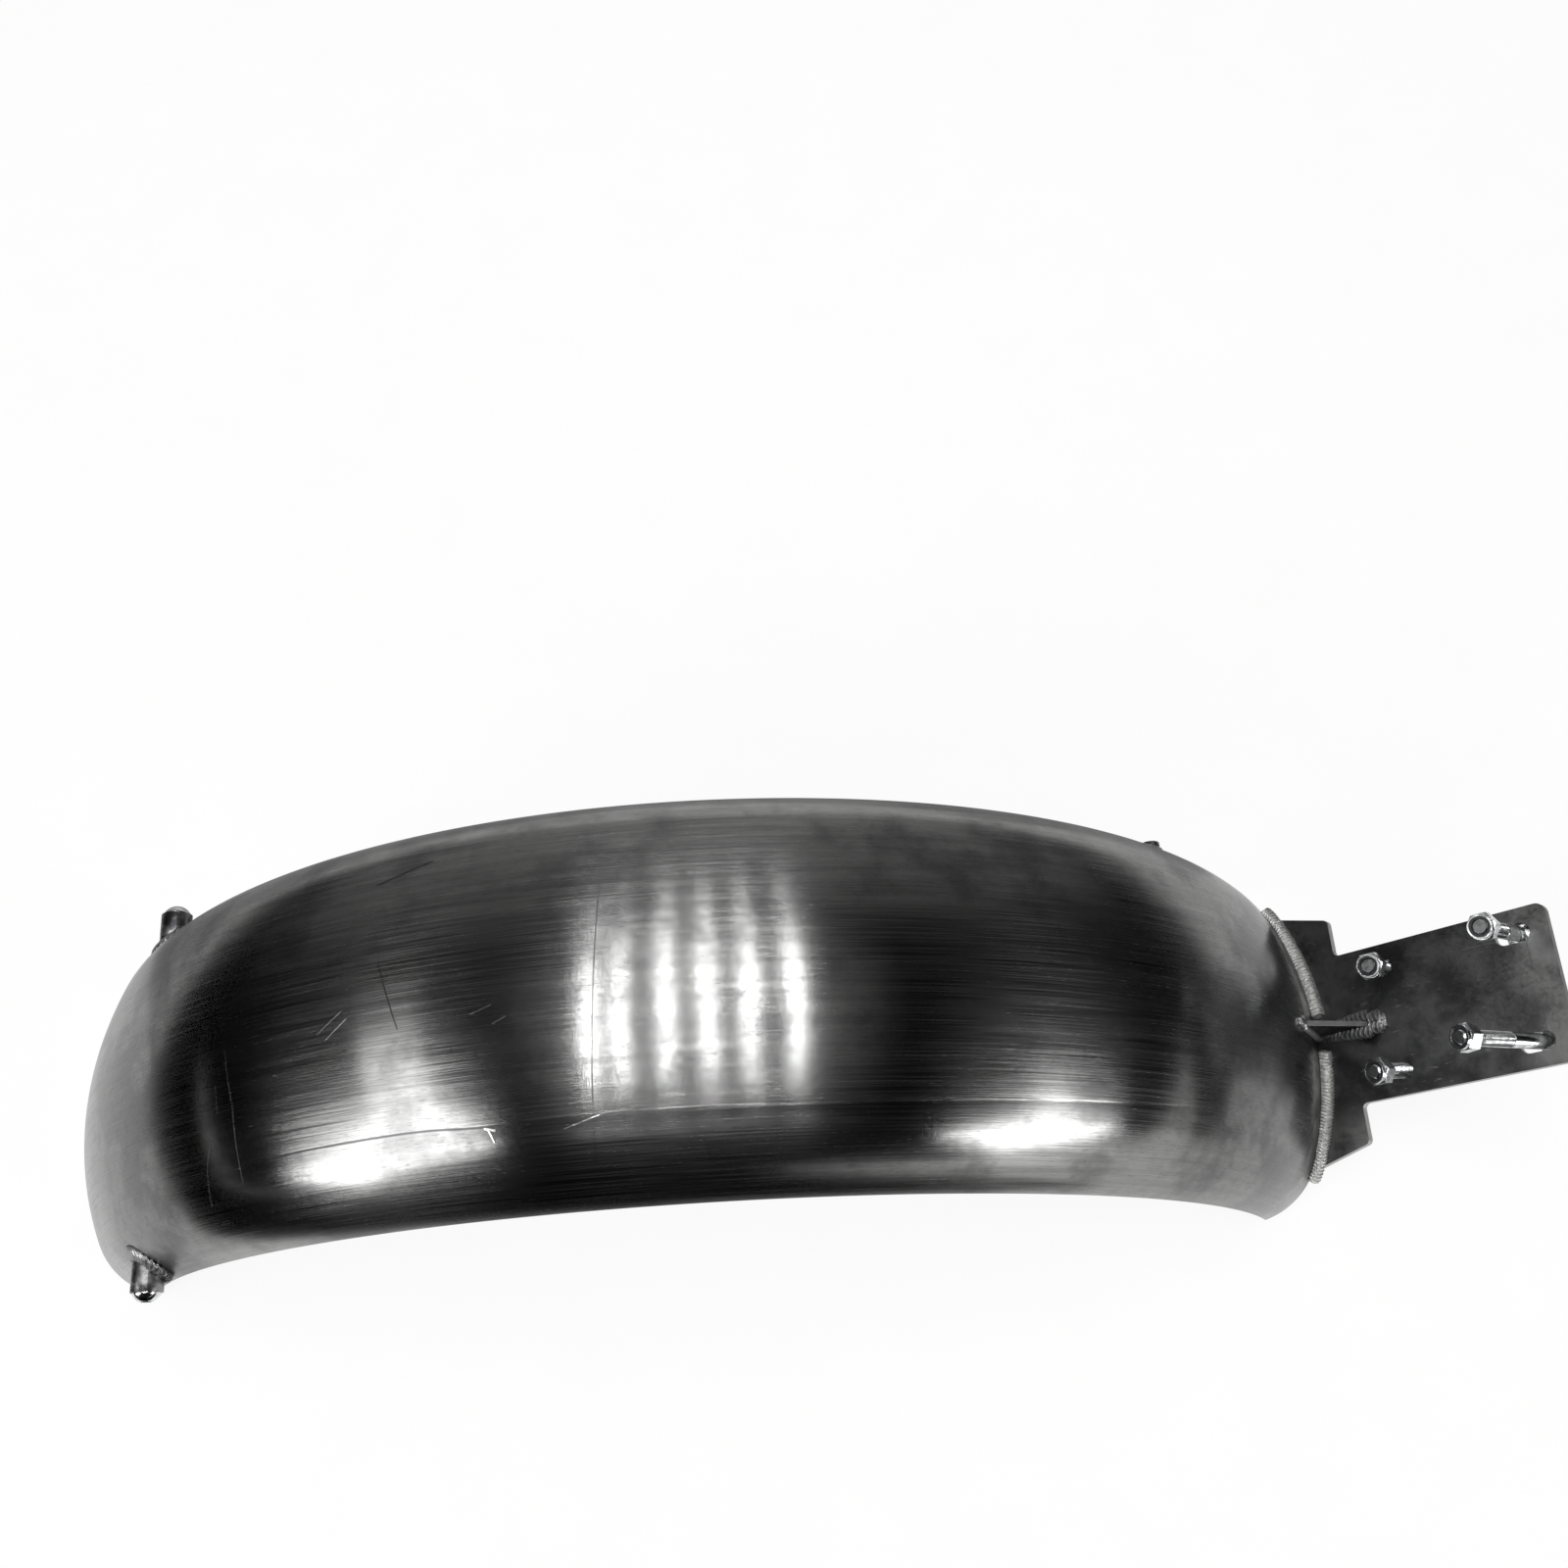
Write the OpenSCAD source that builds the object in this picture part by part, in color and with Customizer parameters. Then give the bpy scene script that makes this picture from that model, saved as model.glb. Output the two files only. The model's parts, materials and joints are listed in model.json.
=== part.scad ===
// Motorcycle rear fender in bare steel: a rolled shell with a flat mounting plate welded to its front end.
// It lies as it rests on its four skirt corners. +X points to the mounting plate, +Y is the far side and +Z is up.

/* [Shell] */
// Outside radius of the crown, measured from the wheel's axle
crown_r = 365; // [330:1:400]
// Overall width of the shell across its shoulders
shell_w = 185; // [176:1:196]
// Radius of the crown from side to side
crown_arc_r = 172; // [150:1:220]
// Radius of the two shoulders from side to side
shoulder_r = 45; // [40:0.5:50]
// Depth from the top of the crown down to the skirt edges
skirt_depth = 44.5; // [44:0.1:48]
// Thickness of the shell's sheet
sheet_t = 2; // [1.2:0.1:3]
// Angle round the wheel from the top of the arc to the tail end
tail_angle = 69; // [66:0.5:74]
// Angle round the wheel from the top of the arc to the front end of the crown
front_angle = 66.7; // [63:0.1:70]
// Radius of the two rounded tail corners
tail_corner_r = 10; // [6:0.5:14]
// How far the two front corners are cut back, below the plate
front_corner_trim = 7; // [0:0.5:9]

/* [Mounting plate] */
// Thickness of the plate
plate_t = 4; // [3:0.1:5]
// Angle by which the plate stands steeper than the wheel's radius
plate_tilt = 20.5; // [14:0.5:26]
// Length of the tongue, from the crown to its outer edge
tongue_len = 132.5; // [128:0.5:150]
// Width of the tongue
tongue_w = 80; // [76:0.5:86]
// How far the plate's shoulders stay inside the shell's width, on each side
shoulder_margin = 32; // [29:0.5:36]
// Distance from the crown to the shoulders' outer edge
shoulder_reach = 18.3; // [15:0.1:22]
// Distance from the crown to the plate's inner edge, inside the shell
inner_reach = 20; // [18:0.5:24]
// How far the plate's inner edge stays inside the shell's width, on each side
inner_margin = 21.5; // [20:0.5:25]
// Corner radius at the tongue's outer edge
tongue_corner_r = 5; // [3:0.5:8]
// Corner radius of the shoulders and of the notches beside the tongue
shoulder_corner_r = 3; // [1:0.5:4]

/* [Plate holes] */
// Distance from the crown to the two round holes
hole_reach = 44.5; // [42:0.5:50]
// Distance from the middle of the two slots to the tongue's outer edge
slot_margin = 18.5; // [18:0.5:24]
// Distance between the near and the far row of holes
hole_span = 55; // [50:0.5:57]
// Overall length of a slot
slot_len = 18; // [16:0.5:22]
// Clearance of the plate's holes and slots round the bolt shanks
hole_clear = 1.5; // [1.4:0.1:2.2]

/* [Welds] */
// Height of the weld between the shell and the plate, up the shell
plate_weld_leg = 5; // [3:0.5:6]
// Width of that weld over the plate, at the middle
plate_weld_w = 7.5; // [5:0.5:9]
// How far the plate weld stays inside the shell's width, on each side
plate_weld_margin = 18.5; // [14:0.5:22]
// Gap left in the plate weld on each side of the middle for the rib
plate_weld_gap = 8.5; // [7:0.5:12]
// Radius of the weld beads along the rib
rib_weld_r = 3; // [2:0.5:4]
// How far those beads run on past the rib's end on the crown
rib_bead_end = 6; // [4:0.5:7]
// How far they run on past the rib's end on the plate
rib_pool_end = 10; // [6:0.5:12]
// Width and height of each bead there, on its side of the middle
rib_pool_w = 6.5; // [4:0.5:8]
rib_pool_h = 3.5; // [2:0.5:4]
// Leg of the weld round a tail boss
boss_weld_leg = 3.6; // [2.5:0.1:4.5]
// Extra leg of that weld on the boss's front side
boss_weld_front = 3.5; // [0:0.5:5]
// Leg of the weld round the side bush
bush_weld_leg = 1.2; // [0.8:0.1:1.6]

/* [Gusset rib] */
// Thickness of the rib
rib_t = 3; // [2:0.1:4]
// Length of the rib's foot on the plate
rib_foot = 31; // [24:0.5:34]
// Length of the rib's back on the crown
rib_back = 38; // [30:0.5:44]

/* [Tail bosses] */
// Angle round the wheel from the top of the arc to the bosses
boss_angle = 55.4; // [50:0.1:58]
// Depth of the bosses' axis below the crown
boss_depth = 30.5; // [29:0.1:31]
// Outside diameter of a boss
boss_d = 16; // [14:0.1:17]
// How far a boss stands out of the skirt, at its axis
boss_stand = 12.3; // [11:0.1:18]

/* [Tail bolts] */
// Thread diameter of the tail bolts
tail_bolt_d = 8; // [6:1:8]
// Length of a tail bolt under its head
tail_bolt_len = 10; // [6:0.5:10]
// Diameter of the button head
button_d = 14; // [12:0.1:15]
// Height of the button head
button_h = 4.4; // [4:0.1:5]
// Width across flats of the socket
socket_af = 5; // [4:0.1:6]
// Depth of the socket
socket_depth = 2.6; // [1.5:0.1:3]

/* [Side bush] */
// Angle round the wheel from the top of the arc to the bush
bush_angle = 48.5; // [44:0.1:52]
// Depth of the bush's axis below the crown
bush_depth = 37.3; // [36:0.1:37.6]
// Outside diameter of the bush
bush_d = 10; // [9:0.1:10.5]
// Diameter of its tapped bore
bush_bore_d = 5; // [4:0.1:6]
// How far the bush stands out of the skirt, at its axis
bush_stand = 1.8; // [1.6:0.1:6]
// How far the bush reaches in past the skirt
bush_inside = 2; // [1:0.5:4]

/* [Plate bolts] */
// Shank diameter of the plate bolts
bolt_d = 8; // [7:0.1:8.4]
// Width across flats of the bolt heads and the nuts
hex_af = 13; // [12:0.1:14]
// Height of a bolt head
head_h = 5.3; // [4:0.1:6]
// Length of the two bolts in the round holes, under the head
short_bolt_len = 30; // [25:1:35]
// Length of the two bolts in the slots, under the head
long_bolt_len = 60; // [50:1:65]
// Length of the thread on the long bolts
long_thread_len = 33; // [20:1:40]
// Distance from the middle of a slot to the bolt in it, toward the tongue's end
slot_bolt_shift = 2; // [0:0.1:3]
// Lean of the bolt in the far round hole, toward the tongue's end
short_far_lean_out = 6; // [-8:0.5:8]
// Lean of the bolt in the far round hole, toward the far side
short_far_lean_side = -8; // [-8:0.5:8]
// Lean of the bolt in the near round hole, toward the tongue's end
short_near_lean_out = -12.5; // [-12.5:0.5:8]
// Lean of the bolt in the near round hole, toward the far side
short_near_lean_side = -5; // [-5:0.5:5]
// Lean of the bolt in the far slot, toward the tongue's end
long_far_lean_out = 4; // [-10:0.5:6]
// Lean of the bolt in the far slot, toward the far side
long_far_lean_side = -7; // [-8:0.5:8]
// Lean of the bolt in the near slot, toward the tongue's end
long_near_lean_out = -20.5; // [-22:0.5:6]
// Lean of the bolt in the near slot, toward the far side
long_near_lean_side = 0; // [-8:0.5:8]

/* [Lock nuts] */
// Overall height of a lock nut
nut_h = 8; // [7:0.1:9]
// Height of the round collar on top of the nut's hexagon
collar_h = 2; // [1.5:0.1:2.5]
// Diameter of the collar
collar_d = 12; // [11.6:0.1:12]
// Outside diameter of the nylon ring in the collar
insert_d = 10.2; // [9.6:0.1:10.6]
// Height of the nylon ring
insert_h = 2.4; // [1.5:0.1:3]
// How far the nylon ring lies below the collar's rim
insert_drop = 0.4; // [0.2:0.1:0.8]

/* [Hidden] */
$fn = 96;

// Sides of the fender, seen from above with the plate on the right
near = -1;
far = 1;

// Gaps that keep touching pieces from overlapping
weld_clear = 0.08;
thread_clear = 0.1;
seat_clear = 0.05;
// Extra length with which a cutter passes the face that it cuts
over = 1;
// Depth of a thread's form, which a plain cylinder stands for
thread_relief = 0.3;
// Angle by which the swept shell passes the plate before it is cut off there
past_plate = 8;
// Plain part under the heads of the short bolts
short_plain = 2;
// Step between a hexagon's flats and its round end face, and the angle of the cone that forms it
hex_step = 0.2;
hex_cone = 30;
// Height of a button head's rim and radius of the flat on its top
button_rim = 0.6;
button_flat_r = 3.2;

// Cross-section of the shell: one crown arc and two shoulder arcs that meet it smoothly
half_w = shell_w / 2;
shoulder_y = half_w - shoulder_r;
shoulder_v = crown_arc_r - sqrt(pow(crown_arc_r - shoulder_r, 2) - pow(shoulder_y, 2));
blend_angle = atan2(shoulder_y, crown_arc_r - shoulder_v);
blend_v = crown_arc_r * (1 - cos(blend_angle));
skirt_r = crown_r - skirt_depth;
straight_skirt = max(0, skirt_depth - shoulder_v);

// Place of the plate's upper face, on which the shell's front end stands
plate_dir = front_angle - plate_tilt;
plate_off = crown_r * sin(plate_tilt);
plate_origin = [crown_r * sin(front_angle), 0, crown_r * cos(front_angle)];

// Corner of the rib between crown and plate, seen from the side, and the way along the plate from there
rib_corner = [plate_origin[0], plate_origin[2]];
off_crown = [sin(plate_dir), cos(plate_dir)];

// Resting on the front skirt corners and on the rounded tail corners
skirt_front_angle = plate_dir + asin(plate_off / skirt_r) - front_corner_trim / skirt_r * 180 / PI;
front_corner = skirt_r * [sin(skirt_front_angle), cos(skirt_front_angle)];
tail_round_r = skirt_r + tail_corner_r;
tail_round_angle = tail_angle - asin(tail_corner_r / tail_round_r);
tail_round = tail_round_r * [-sin(tail_round_angle), cos(tail_round_angle)];
rest_run = front_corner - tail_round;
rest_lean = asin(tail_corner_r / norm(rest_run)) + atan2(rest_run[1], rest_run[0]);
floor_z = front_corner[1] * cos(rest_lean) - front_corner[0] * sin(rest_lean);

// Furthest points along X, for the middle of the whole part
tail_x = -crown_r * sin(tail_angle - rest_lean);
tongue_end_angle = plate_dir + rest_lean;
tongue_end_x = crown_r * sin(front_angle + rest_lean) + tongue_len * sin(tongue_end_angle)
    + plate_t * cos(tongue_end_angle);
middle_x = (tail_x + tongue_end_x) / 2;

// Directions from a bead's foot round its face
face_steps = [0:22.5:90];
// Angle whose cosine narrows the plate weld at its ends
weld_narrow = 40;
// Size of a bead's blunt end beside its full size
blunt = 0.6;

// Reach of the plate weld from the middle plane
plate_weld_reach = half_w - plate_weld_margin;

// Ends of the bosses and of the side bush, from the middle plane
boss_end = skin_y(boss_depth) + boss_stand;
bush_end = skin_y(bush_depth) + bush_stand;

// Feet of the plate bolts on the plate
row_y = hole_span / 2;
slot_reach = tongue_len - slot_margin;
slot_bolt_reach = slot_reach + slot_bolt_shift;
hex_corner_r = hex_af / 2 / cos(30);
hole_d = bolt_d + hole_clear;
tail_bore_d = tail_bolt_d + 2 * thread_clear;

steel = "Silver";
dark_steel = "DimGray";
zinc = "Gainsboro";
nylon = "DarkSlateGray";

function unit(v) = v / norm(v);

// Half the shell's width at a depth below the crown
function skin_y(v) =
    v < blend_v ? sqrt(pow(crown_arc_r, 2) - pow(crown_arc_r - v, 2))
    : v < shoulder_v ? shoulder_y + sqrt(pow(shoulder_r, 2) - pow(shoulder_v - v, 2))
    : half_w;

// Depth below the crown where the shell is as wide as y to one side
function skin_v(y) =
    y < crown_arc_r * sin(blend_angle) ? crown_arc_r - sqrt(pow(crown_arc_r, 2) - pow(y, 2))
    : shoulder_v - sqrt(pow(shoulder_r, 2) - pow(y - shoulder_y, 2));

// Distance of the shell's skin from the plate's origin, measured in a plane at height z over the plate
function skin_reach(y, z) =
    sqrt(pow(crown_r - skin_v(y), 2) - pow(plate_off - z, 2)) - sqrt(pow(crown_r, 2) - pow(plate_off, 2));

// Wheel frame, with the axle at its origin, laid down on the floor
module resting() {
    translate([-middle_x, 0, -floor_z]) rotate([0, rest_lean, 0]) children();
}

// Local frame of the plate: x outward along the tongue, y to the far side, z out of its upper face
module on_plate() {
    resting() translate(plate_origin) rotate([0, plate_dir - 90, 0]) children();
}

// Local frame on the wheel's side: x and y as seen from the near side, drawn shapes grow to both sides
module side_view(width) {
    resting() rotate([90, 0, 0]) linear_extrude(height = width, center = true) children();
}

// Sweeps a section drawn as [radius, width] round the wheel, between two angles from the top
module round_wheel(from, to) {
    resting() rotate([90, to - 90, 0]) rotate_extrude(angle = to - from) children();
}

module on_side(side) {
    mirror([0, side == near ? 1 : 0, 0]) children();
}

// Frame of a round piece that stands on the far skirt: z points out of the skirt
module on_skirt(angle, depth) {
    resting() rotate([0, angle, 0]) translate([0, 0, crown_r - depth]) rotate([-90, 0, 0]) children();
}

// Region between two edges that meet in p and the arc that rounds their corner
module corner_web(p, a, b, r) {
    u = unit(a - p);
    v = unit(b - p);
    half = acos(u * v) / 2;
    centre = p + unit(u + v) * r / sin(half);
    difference() {
        polygon([p - unit(u + v) * over / 2, p + u * r / tan(half), centre, p + v * r / tan(half)]);
        translate(centre) circle(r);
    }
}

// Closed or open skin over a list of rings that have the same number of points
module ring_skin(rings, closed) {
    n = len(rings);
    m = len(rings[0]);
    last = closed ? n - 1 : n - 2;
    sides = [for (i = [0:last], j = [0:m - 1])
        let (a = i * m, b = ((i + 1) % n) * m, k = (j + 1) % m)
        each [[a + j, a + k, b + k], [a + j, b + k, b + j]]];
    caps = closed ? [] : [[for (j = [m - 1:-1:0]) j], [for (j = [0:m - 1]) (n - 1) * m + j]];
    polyhedron([for (ring = rings) each ring], concat(sides, caps));
}

// Shell

module filled_section(inset) {
    tip = crown_arc_r / cos(blend_angle);
    translate([crown_r - crown_arc_r, 0]) intersection() {
        circle(crown_arc_r - inset);
        polygon([[0, 0], tip * [cos(blend_angle), sin(blend_angle)], tip * [cos(blend_angle), -sin(blend_angle)]]
            * (1 + over / crown_arc_r));
    }
    for (side = [near, far])
        translate([crown_r - shoulder_v, side * shoulder_y]) circle(shoulder_r - inset);
    translate([crown_r - shoulder_v - straight_skirt - 2 * over, inset - half_w])
        square([straight_skirt + 2 * over, shell_w - 2 * inset]);
}

module shell_section() {
    difference() {
        filled_section(0);
        filled_section(sheet_t);
        translate([0, -half_w - over]) square([skirt_r, shell_w + 2 * over]);
    }
}

module tail_corner() {
    tail_way = -[cos(tail_angle), sin(tail_angle)];
    edge_way = -unit(tail_round);
    difference() {
        polygon([tail_round, tail_round + 2 * tail_corner_r * tail_way,
            tail_round + 2 * tail_corner_r * (tail_way + edge_way), tail_round + 2 * tail_corner_r * edge_way]);
        translate(tail_round) circle(tail_corner_r);
    }
}

// Wedge between the plate's upper face and the line along which a front corner is cut back
module front_corner_wedge() {
    top = rib_corner + weld_foot(plate_weld_reach)[0] * off_crown;
    polygon([top, top - 2 * skirt_depth * off_crown + skirt_depth * [off_crown[1], -off_crown[0]],
        2 * front_corner - top]);
}

module fender_shell() {
    color(steel) difference() {
        round_wheel(-tail_angle, front_angle + past_plate) shell_section();
        on_plate() translate([-crown_r, -shell_w, -crown_r]) cube([2 * crown_r, 2 * shell_w, crown_r]);
        side_view(shell_w + 2 * over) {
            tail_corner();
            front_corner_wedge();
        }
        on_skirt(bush_angle, bush_depth) cylinder(h = half_w + over, d = bush_d);
        for (side = [near, far]) on_side(side)
            on_skirt(-boss_angle, boss_depth) cylinder(h = half_w + over, d = tail_bore_d);
    }
}

// Mounting plate

module plate_outline() {
    inner = [-inner_reach, half_w - inner_margin];
    shoulder = [shoulder_reach, half_w - shoulder_margin];
    notch = [shoulder_reach, tongue_w / 2];
    tip = [tongue_len, tongue_w / 2];
    half_outline = [inner, shoulder, notch, tip];
    down = [1, -1];
    difference() {
        union() {
            polygon([for (p = half_outline) p, for (i = [3:-1:0])
                [half_outline[i][0], -half_outline[i][1]]]);
            for (side = [0, 1]) mirror([0, side]) corner_web(notch, shoulder, tip, shoulder_corner_r);
        }
        for (side = [0, 1]) mirror([0, side]) {
            corner_web(shoulder, inner, notch, shoulder_corner_r);
            corner_web(tip, notch, [tongue_len, -tongue_w / 2], tongue_corner_r);
        }
    }
}

module mounting_plate() {
    slot_half = (slot_len - hole_d) / 2;
    color(dark_steel) on_plate() difference() {
        translate([0, 0, -plate_t]) linear_extrude(height = plate_t) plate_outline();
        for (side = [near, far]) translate([0, side * row_y, -plate_t - over]) {
            translate([hole_reach, 0]) cylinder(h = plate_t + 2 * over, d = hole_d);
            for (end = [-slot_half, slot_half])
                translate([slot_reach + end, 0]) cylinder(h = plate_t + 2 * over, d = hole_d);
            translate([slot_reach - slot_half, -hole_d / 2])
                cube([2 * slot_half, hole_d, plate_t + 2 * over]);
        }
    }
}

// Weld between the shell and the plate: a bead whose foot follows the shell's skin on the plate

function weld_foot(y) = [skin_reach(y, 0), y];

function weld_out(y) =
    let (step = 0.1, way = unit(weld_foot(y + step) - weld_foot(y - step)))
    [way[1], -way[0]];

function plate_weld_ring(y, size) =
    let (
        foot = weld_foot(y),
        out = weld_out(y),
        width = plate_weld_w * cos(weld_narrow * y / plate_weld_reach),
        up_shift = (skin_reach(y, plate_weld_leg) - skin_reach(y, 0)) * out[0]
    )
    [
        for (p = size * [[0, 0],
                for (t = face_steps) [width * cos(t) + up_shift * sin(t), plate_weld_leg * sin(t)]])
            [foot[0] + out[0] * (p[0] + weld_clear), foot[1] + out[1] * (p[0] + weld_clear), p[1]]
    ];

module plate_weld(side) {
    steps = 26;
    color(steel) on_plate() on_side(side)
        ring_skin([for (i = [0:steps])
            plate_weld_ring(plate_weld_gap + (plate_weld_reach - plate_weld_gap) * i / steps,
                i == 0 || i == steps ? blunt : 1)], false);
}

// Gusset rib on the middle plane, between the crown and the plate

module rib_outline() {
    difference() {
        polygon([crown_point(rib_back), rib_corner + rib_foot * off_crown, rib_corner - 2 * rib_t * off_crown]);
        circle(crown_r, $fn = 720);
    }
}

module gusset_rib() {
    color(dark_steel) side_view(rib_t) rib_outline();
}

// Point on the crown's middle line, at a distance round the wheel from the plate's upper face
function crown_point(back) =
    let (angle = front_angle - back / crown_r * 180 / PI)
    crown_r * [sin(angle), cos(angle)];

// Cross-section of the rib's bead over a point of its foot line; rise is the way off the surface there
function rib_bead_ring(foot, rise, beside, width, height) =
    [for (p = [[0, 0], for (t = face_steps) [width * cos(t), height * sin(t)]])
        let (up = p[1] + weld_clear)
        [foot[0] + rise[0] * up, beside + weld_clear + p[0], foot[1] + rise[1] * up]];

// Bead along one side of the rib: from the pool on the plate, round the corner and up the crown
module gusset_weld(side) {
    off_plate = [-off_crown[1], off_crown[0]];
    off_skin = rib_corner / crown_r;
    off_both = (off_plate + off_skin) / (1 + off_plate * off_skin);
    bead_y = rib_t / 2;
    bead = [rib_weld_r, rib_weld_r];
    pool = [rib_pool_w, rib_pool_h];
    foot_end = rib_foot + weld_clear;
    back_end = rib_back + weld_clear;
    on_plate_rings = [
        for (p = [[rib_foot + rib_pool_end, 0, blunt * pool], [rib_foot + rib_pool_end - rib_pool_h, 0, pool],
                [rib_foot + bead_y, 0, pool], [foot_end, bead_y, pool], [foot_end / 2, bead_y, (bead + pool) / 2]])
            rib_bead_ring(rib_corner + p[0] * off_crown, off_plate, p[1], p[2][0], p[2][1])];
    corner_ring = rib_bead_ring(rib_corner, off_both, bead_y, rib_weld_r, rib_weld_r);
    on_crown_rings = [
        for (p = [for (i = [1:6]) [back_end * i / 6, bead_y, bead],
                [rib_back + bead_y, 0, bead], [rib_back + rib_bead_end, 0, blunt * bead]])
            rib_bead_ring(crown_point(p[0]), unit(crown_point(p[0])), p[1], p[2][0], p[2][1])];
    color(dark_steel) resting() on_side(side)
        ring_skin([each on_plate_rings, corner_ring, each on_crown_rings], false);
}

// Tail bosses and the bolts in them

module tail_boss(side) {
    color(dark_steel) on_side(side) difference() {
        on_skirt(-boss_angle, boss_depth) cylinder(h = boss_end, d = boss_d);
        on_skirt(-boss_angle, boss_depth) cylinder(h = boss_end + over, d = tail_bore_d);
        round_wheel(-tail_angle, 0) filled_section(0);
    }
}

// Ring of weld round a piece of diameter d that stands on the far skirt, with its foot on the shell's skin
module skirt_weld(angle, depth, d, leg, front_leg) {
    steps = 36;
    base = d / 2 + weld_clear;
    section = [[0, 0], for (t = [90:-22.5:0]) [cos(t), sin(t)], [0.5, 0]];
    rings = [for (i = [0:steps - 1])
        let (turn = 360 * i / steps, width = leg + front_leg * pow(max(0, cos(turn)), 2))
        [
            for (p = section)
                let (
                    r = base + p[0] * width,
                    x = r * cos(turn),
                    y = r * sin(turn),
                    skin = skin_y(crown_r - norm([x, crown_r - depth - y]))
                )
                [x, y, skin + weld_clear + p[1] * leg]
        ]];
    on_skirt(angle, depth) ring_skin(rings, true);
}

module boss_weld(side) {
    color(dark_steel) on_side(side)
        skirt_weld(-boss_angle, boss_depth, boss_d, boss_weld_leg, boss_weld_front);
}

// Button head: a ball cap through its rim and the edge of its top flat, with a hexagon socket
module button_head() {
    rim_r = button_d / 2;
    ball_z = (pow(button_flat_r, 2) + pow(button_h, 2) - pow(rim_r, 2) - pow(button_rim, 2))
        / 2 / (button_h - button_rim);
    difference() {
        intersection() {
            cylinder(h = button_h, r = rim_r);
            translate([0, 0, ball_z]) sphere(norm([rim_r, button_rim - ball_z]));
        }
        translate([0, 0, button_h - socket_depth]) cylinder(h = button_h, r = socket_af / 2 / cos(30), $fn = 6);
    }
}

module tail_bolt(side) {
    color(zinc) on_side(side) on_skirt(-boss_angle, boss_depth) translate([0, 0, boss_end]) {
        button_head();
        translate([0, 0, -tail_bolt_len]) cylinder(h = tail_bolt_len, d = tail_bolt_d);
    }
}

// Threaded bush through the far skirt

module side_bush() {
    inner_end = skin_y(bush_depth) - sheet_t - bush_inside;
    color(dark_steel) on_skirt(bush_angle, bush_depth) translate([0, 0, inner_end]) difference() {
        cylinder(h = bush_end - inner_end, d = bush_d);
        translate([0, 0, -over]) cylinder(h = bush_end - inner_end + 2 * over, d = bush_bore_d);
    }
}

module side_bush_weld() {
    color(dark_steel) skirt_weld(bush_angle, bush_depth, bush_d, bush_weld_leg, 0);
}

// Plate bolts, which stand loosely in their holes and lean, each with a lock nut on its end

function bolt_lean(is_long, side) =
    is_long
        ? (side == far ? [long_far_lean_out, long_far_lean_side] : [long_near_lean_out, long_near_lean_side])
        : (side == far ? [short_far_lean_out, short_far_lean_side] : [short_near_lean_out, short_near_lean_side]);

function bolt_len(is_long) = is_long ? long_bolt_len : short_bolt_len;

// Distance along the bolt from the plate's middle layer down to the head's bearing face
function bolt_seat(is_long, side) =
    let (
        lean = bolt_lean(is_long, side),
        tilt = acos(cos(lean[0]) * cos(lean[1]))
    )
    plate_t / 2 / cos(tilt) + hex_corner_r * tan(tilt) + seat_clear;

// Local frame of a plate bolt: z points along the bolt to its nut, from the head's bearing face
module on_bolt(is_long, side) {
    lean = bolt_lean(is_long, side);
    on_plate() translate([is_long ? slot_bolt_reach : hole_reach, side * row_y, -plate_t / 2])
        rotate([-lean[1], 0, 0]) rotate([0, lean[0], 0]) translate([0, 0, -bolt_seat(is_long, side)]) children();
}

// Hexagon with its corners cut back by a cone on the face away from the joint
module hexagon(height) {
    end_r = hex_af / 2 - hex_step;
    intersection() {
        cylinder(h = height, r = hex_corner_r, $fn = 6);
        cylinder(h = height, r1 = end_r + height / tan(hex_cone), r2 = end_r);
    }
}

module plate_bolt(is_long, side) {
    length = bolt_len(is_long);
    thread_len = is_long ? long_thread_len : length - short_plain;
    color(zinc) on_bolt(is_long, side) {
        mirror([0, 0, 1]) hexagon(head_h);
        cylinder(h = length - thread_len, d = bolt_d);
        cylinder(h = length, d = bolt_d - thread_relief);
    }
}

module lock_nut(is_long, side) {
    color(zinc) on_bolt(is_long, side) translate([0, 0, bolt_len(is_long) - nut_h]) difference() {
        union() {
            hexagon(nut_h - collar_h);
            cylinder(h = nut_h, d = collar_d);
        }
        translate([0, 0, -over]) cylinder(h = nut_h + 2 * over, d = bolt_d);
        translate([0, 0, nut_h - insert_drop - insert_h]) cylinder(h = nut_h, d = insert_d);
    }
}

module nut_insert(is_long, side) {
    color(nylon) on_bolt(is_long, side)
        translate([0, 0, bolt_len(is_long) - insert_drop - insert_h]) difference() {
            cylinder(h = insert_h, d = insert_d);
            translate([0, 0, -over]) cylinder(h = insert_h + 2 * over, d = bolt_d);
        }
}

fender_shell();
mounting_plate();
plate_weld(near);  // plate_weld_near
plate_weld(far);  // plate_weld_far
gusset_rib();
gusset_weld(near);  // gusset_weld_near
gusset_weld(far);  // gusset_weld_far
tail_boss(near);  // tail_boss_near
tail_boss(far);  // tail_boss_far
boss_weld(near);  // boss_weld_near
boss_weld(far);  // boss_weld_far
tail_bolt(near);  // tail_bolt_near
tail_bolt(far);  // tail_bolt_far
side_bush();
side_bush_weld();
plate_bolt(false, near);  // plate_bolt_short_near
plate_bolt(false, far);  // plate_bolt_short_far
plate_bolt(true, near);  // plate_bolt_long_near
plate_bolt(true, far);  // plate_bolt_long_far
lock_nut(false, near);  // lock_nut_short_near
lock_nut(false, far);  // lock_nut_short_far
lock_nut(true, near);  // lock_nut_long_near
lock_nut(true, far);  // lock_nut_long_far
nut_insert(false, near);  // nut_insert_short_near
nut_insert(false, far);  // nut_insert_short_far
nut_insert(true, near);  // nut_insert_long_near
nut_insert(true, far);  // nut_insert_long_far
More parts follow.
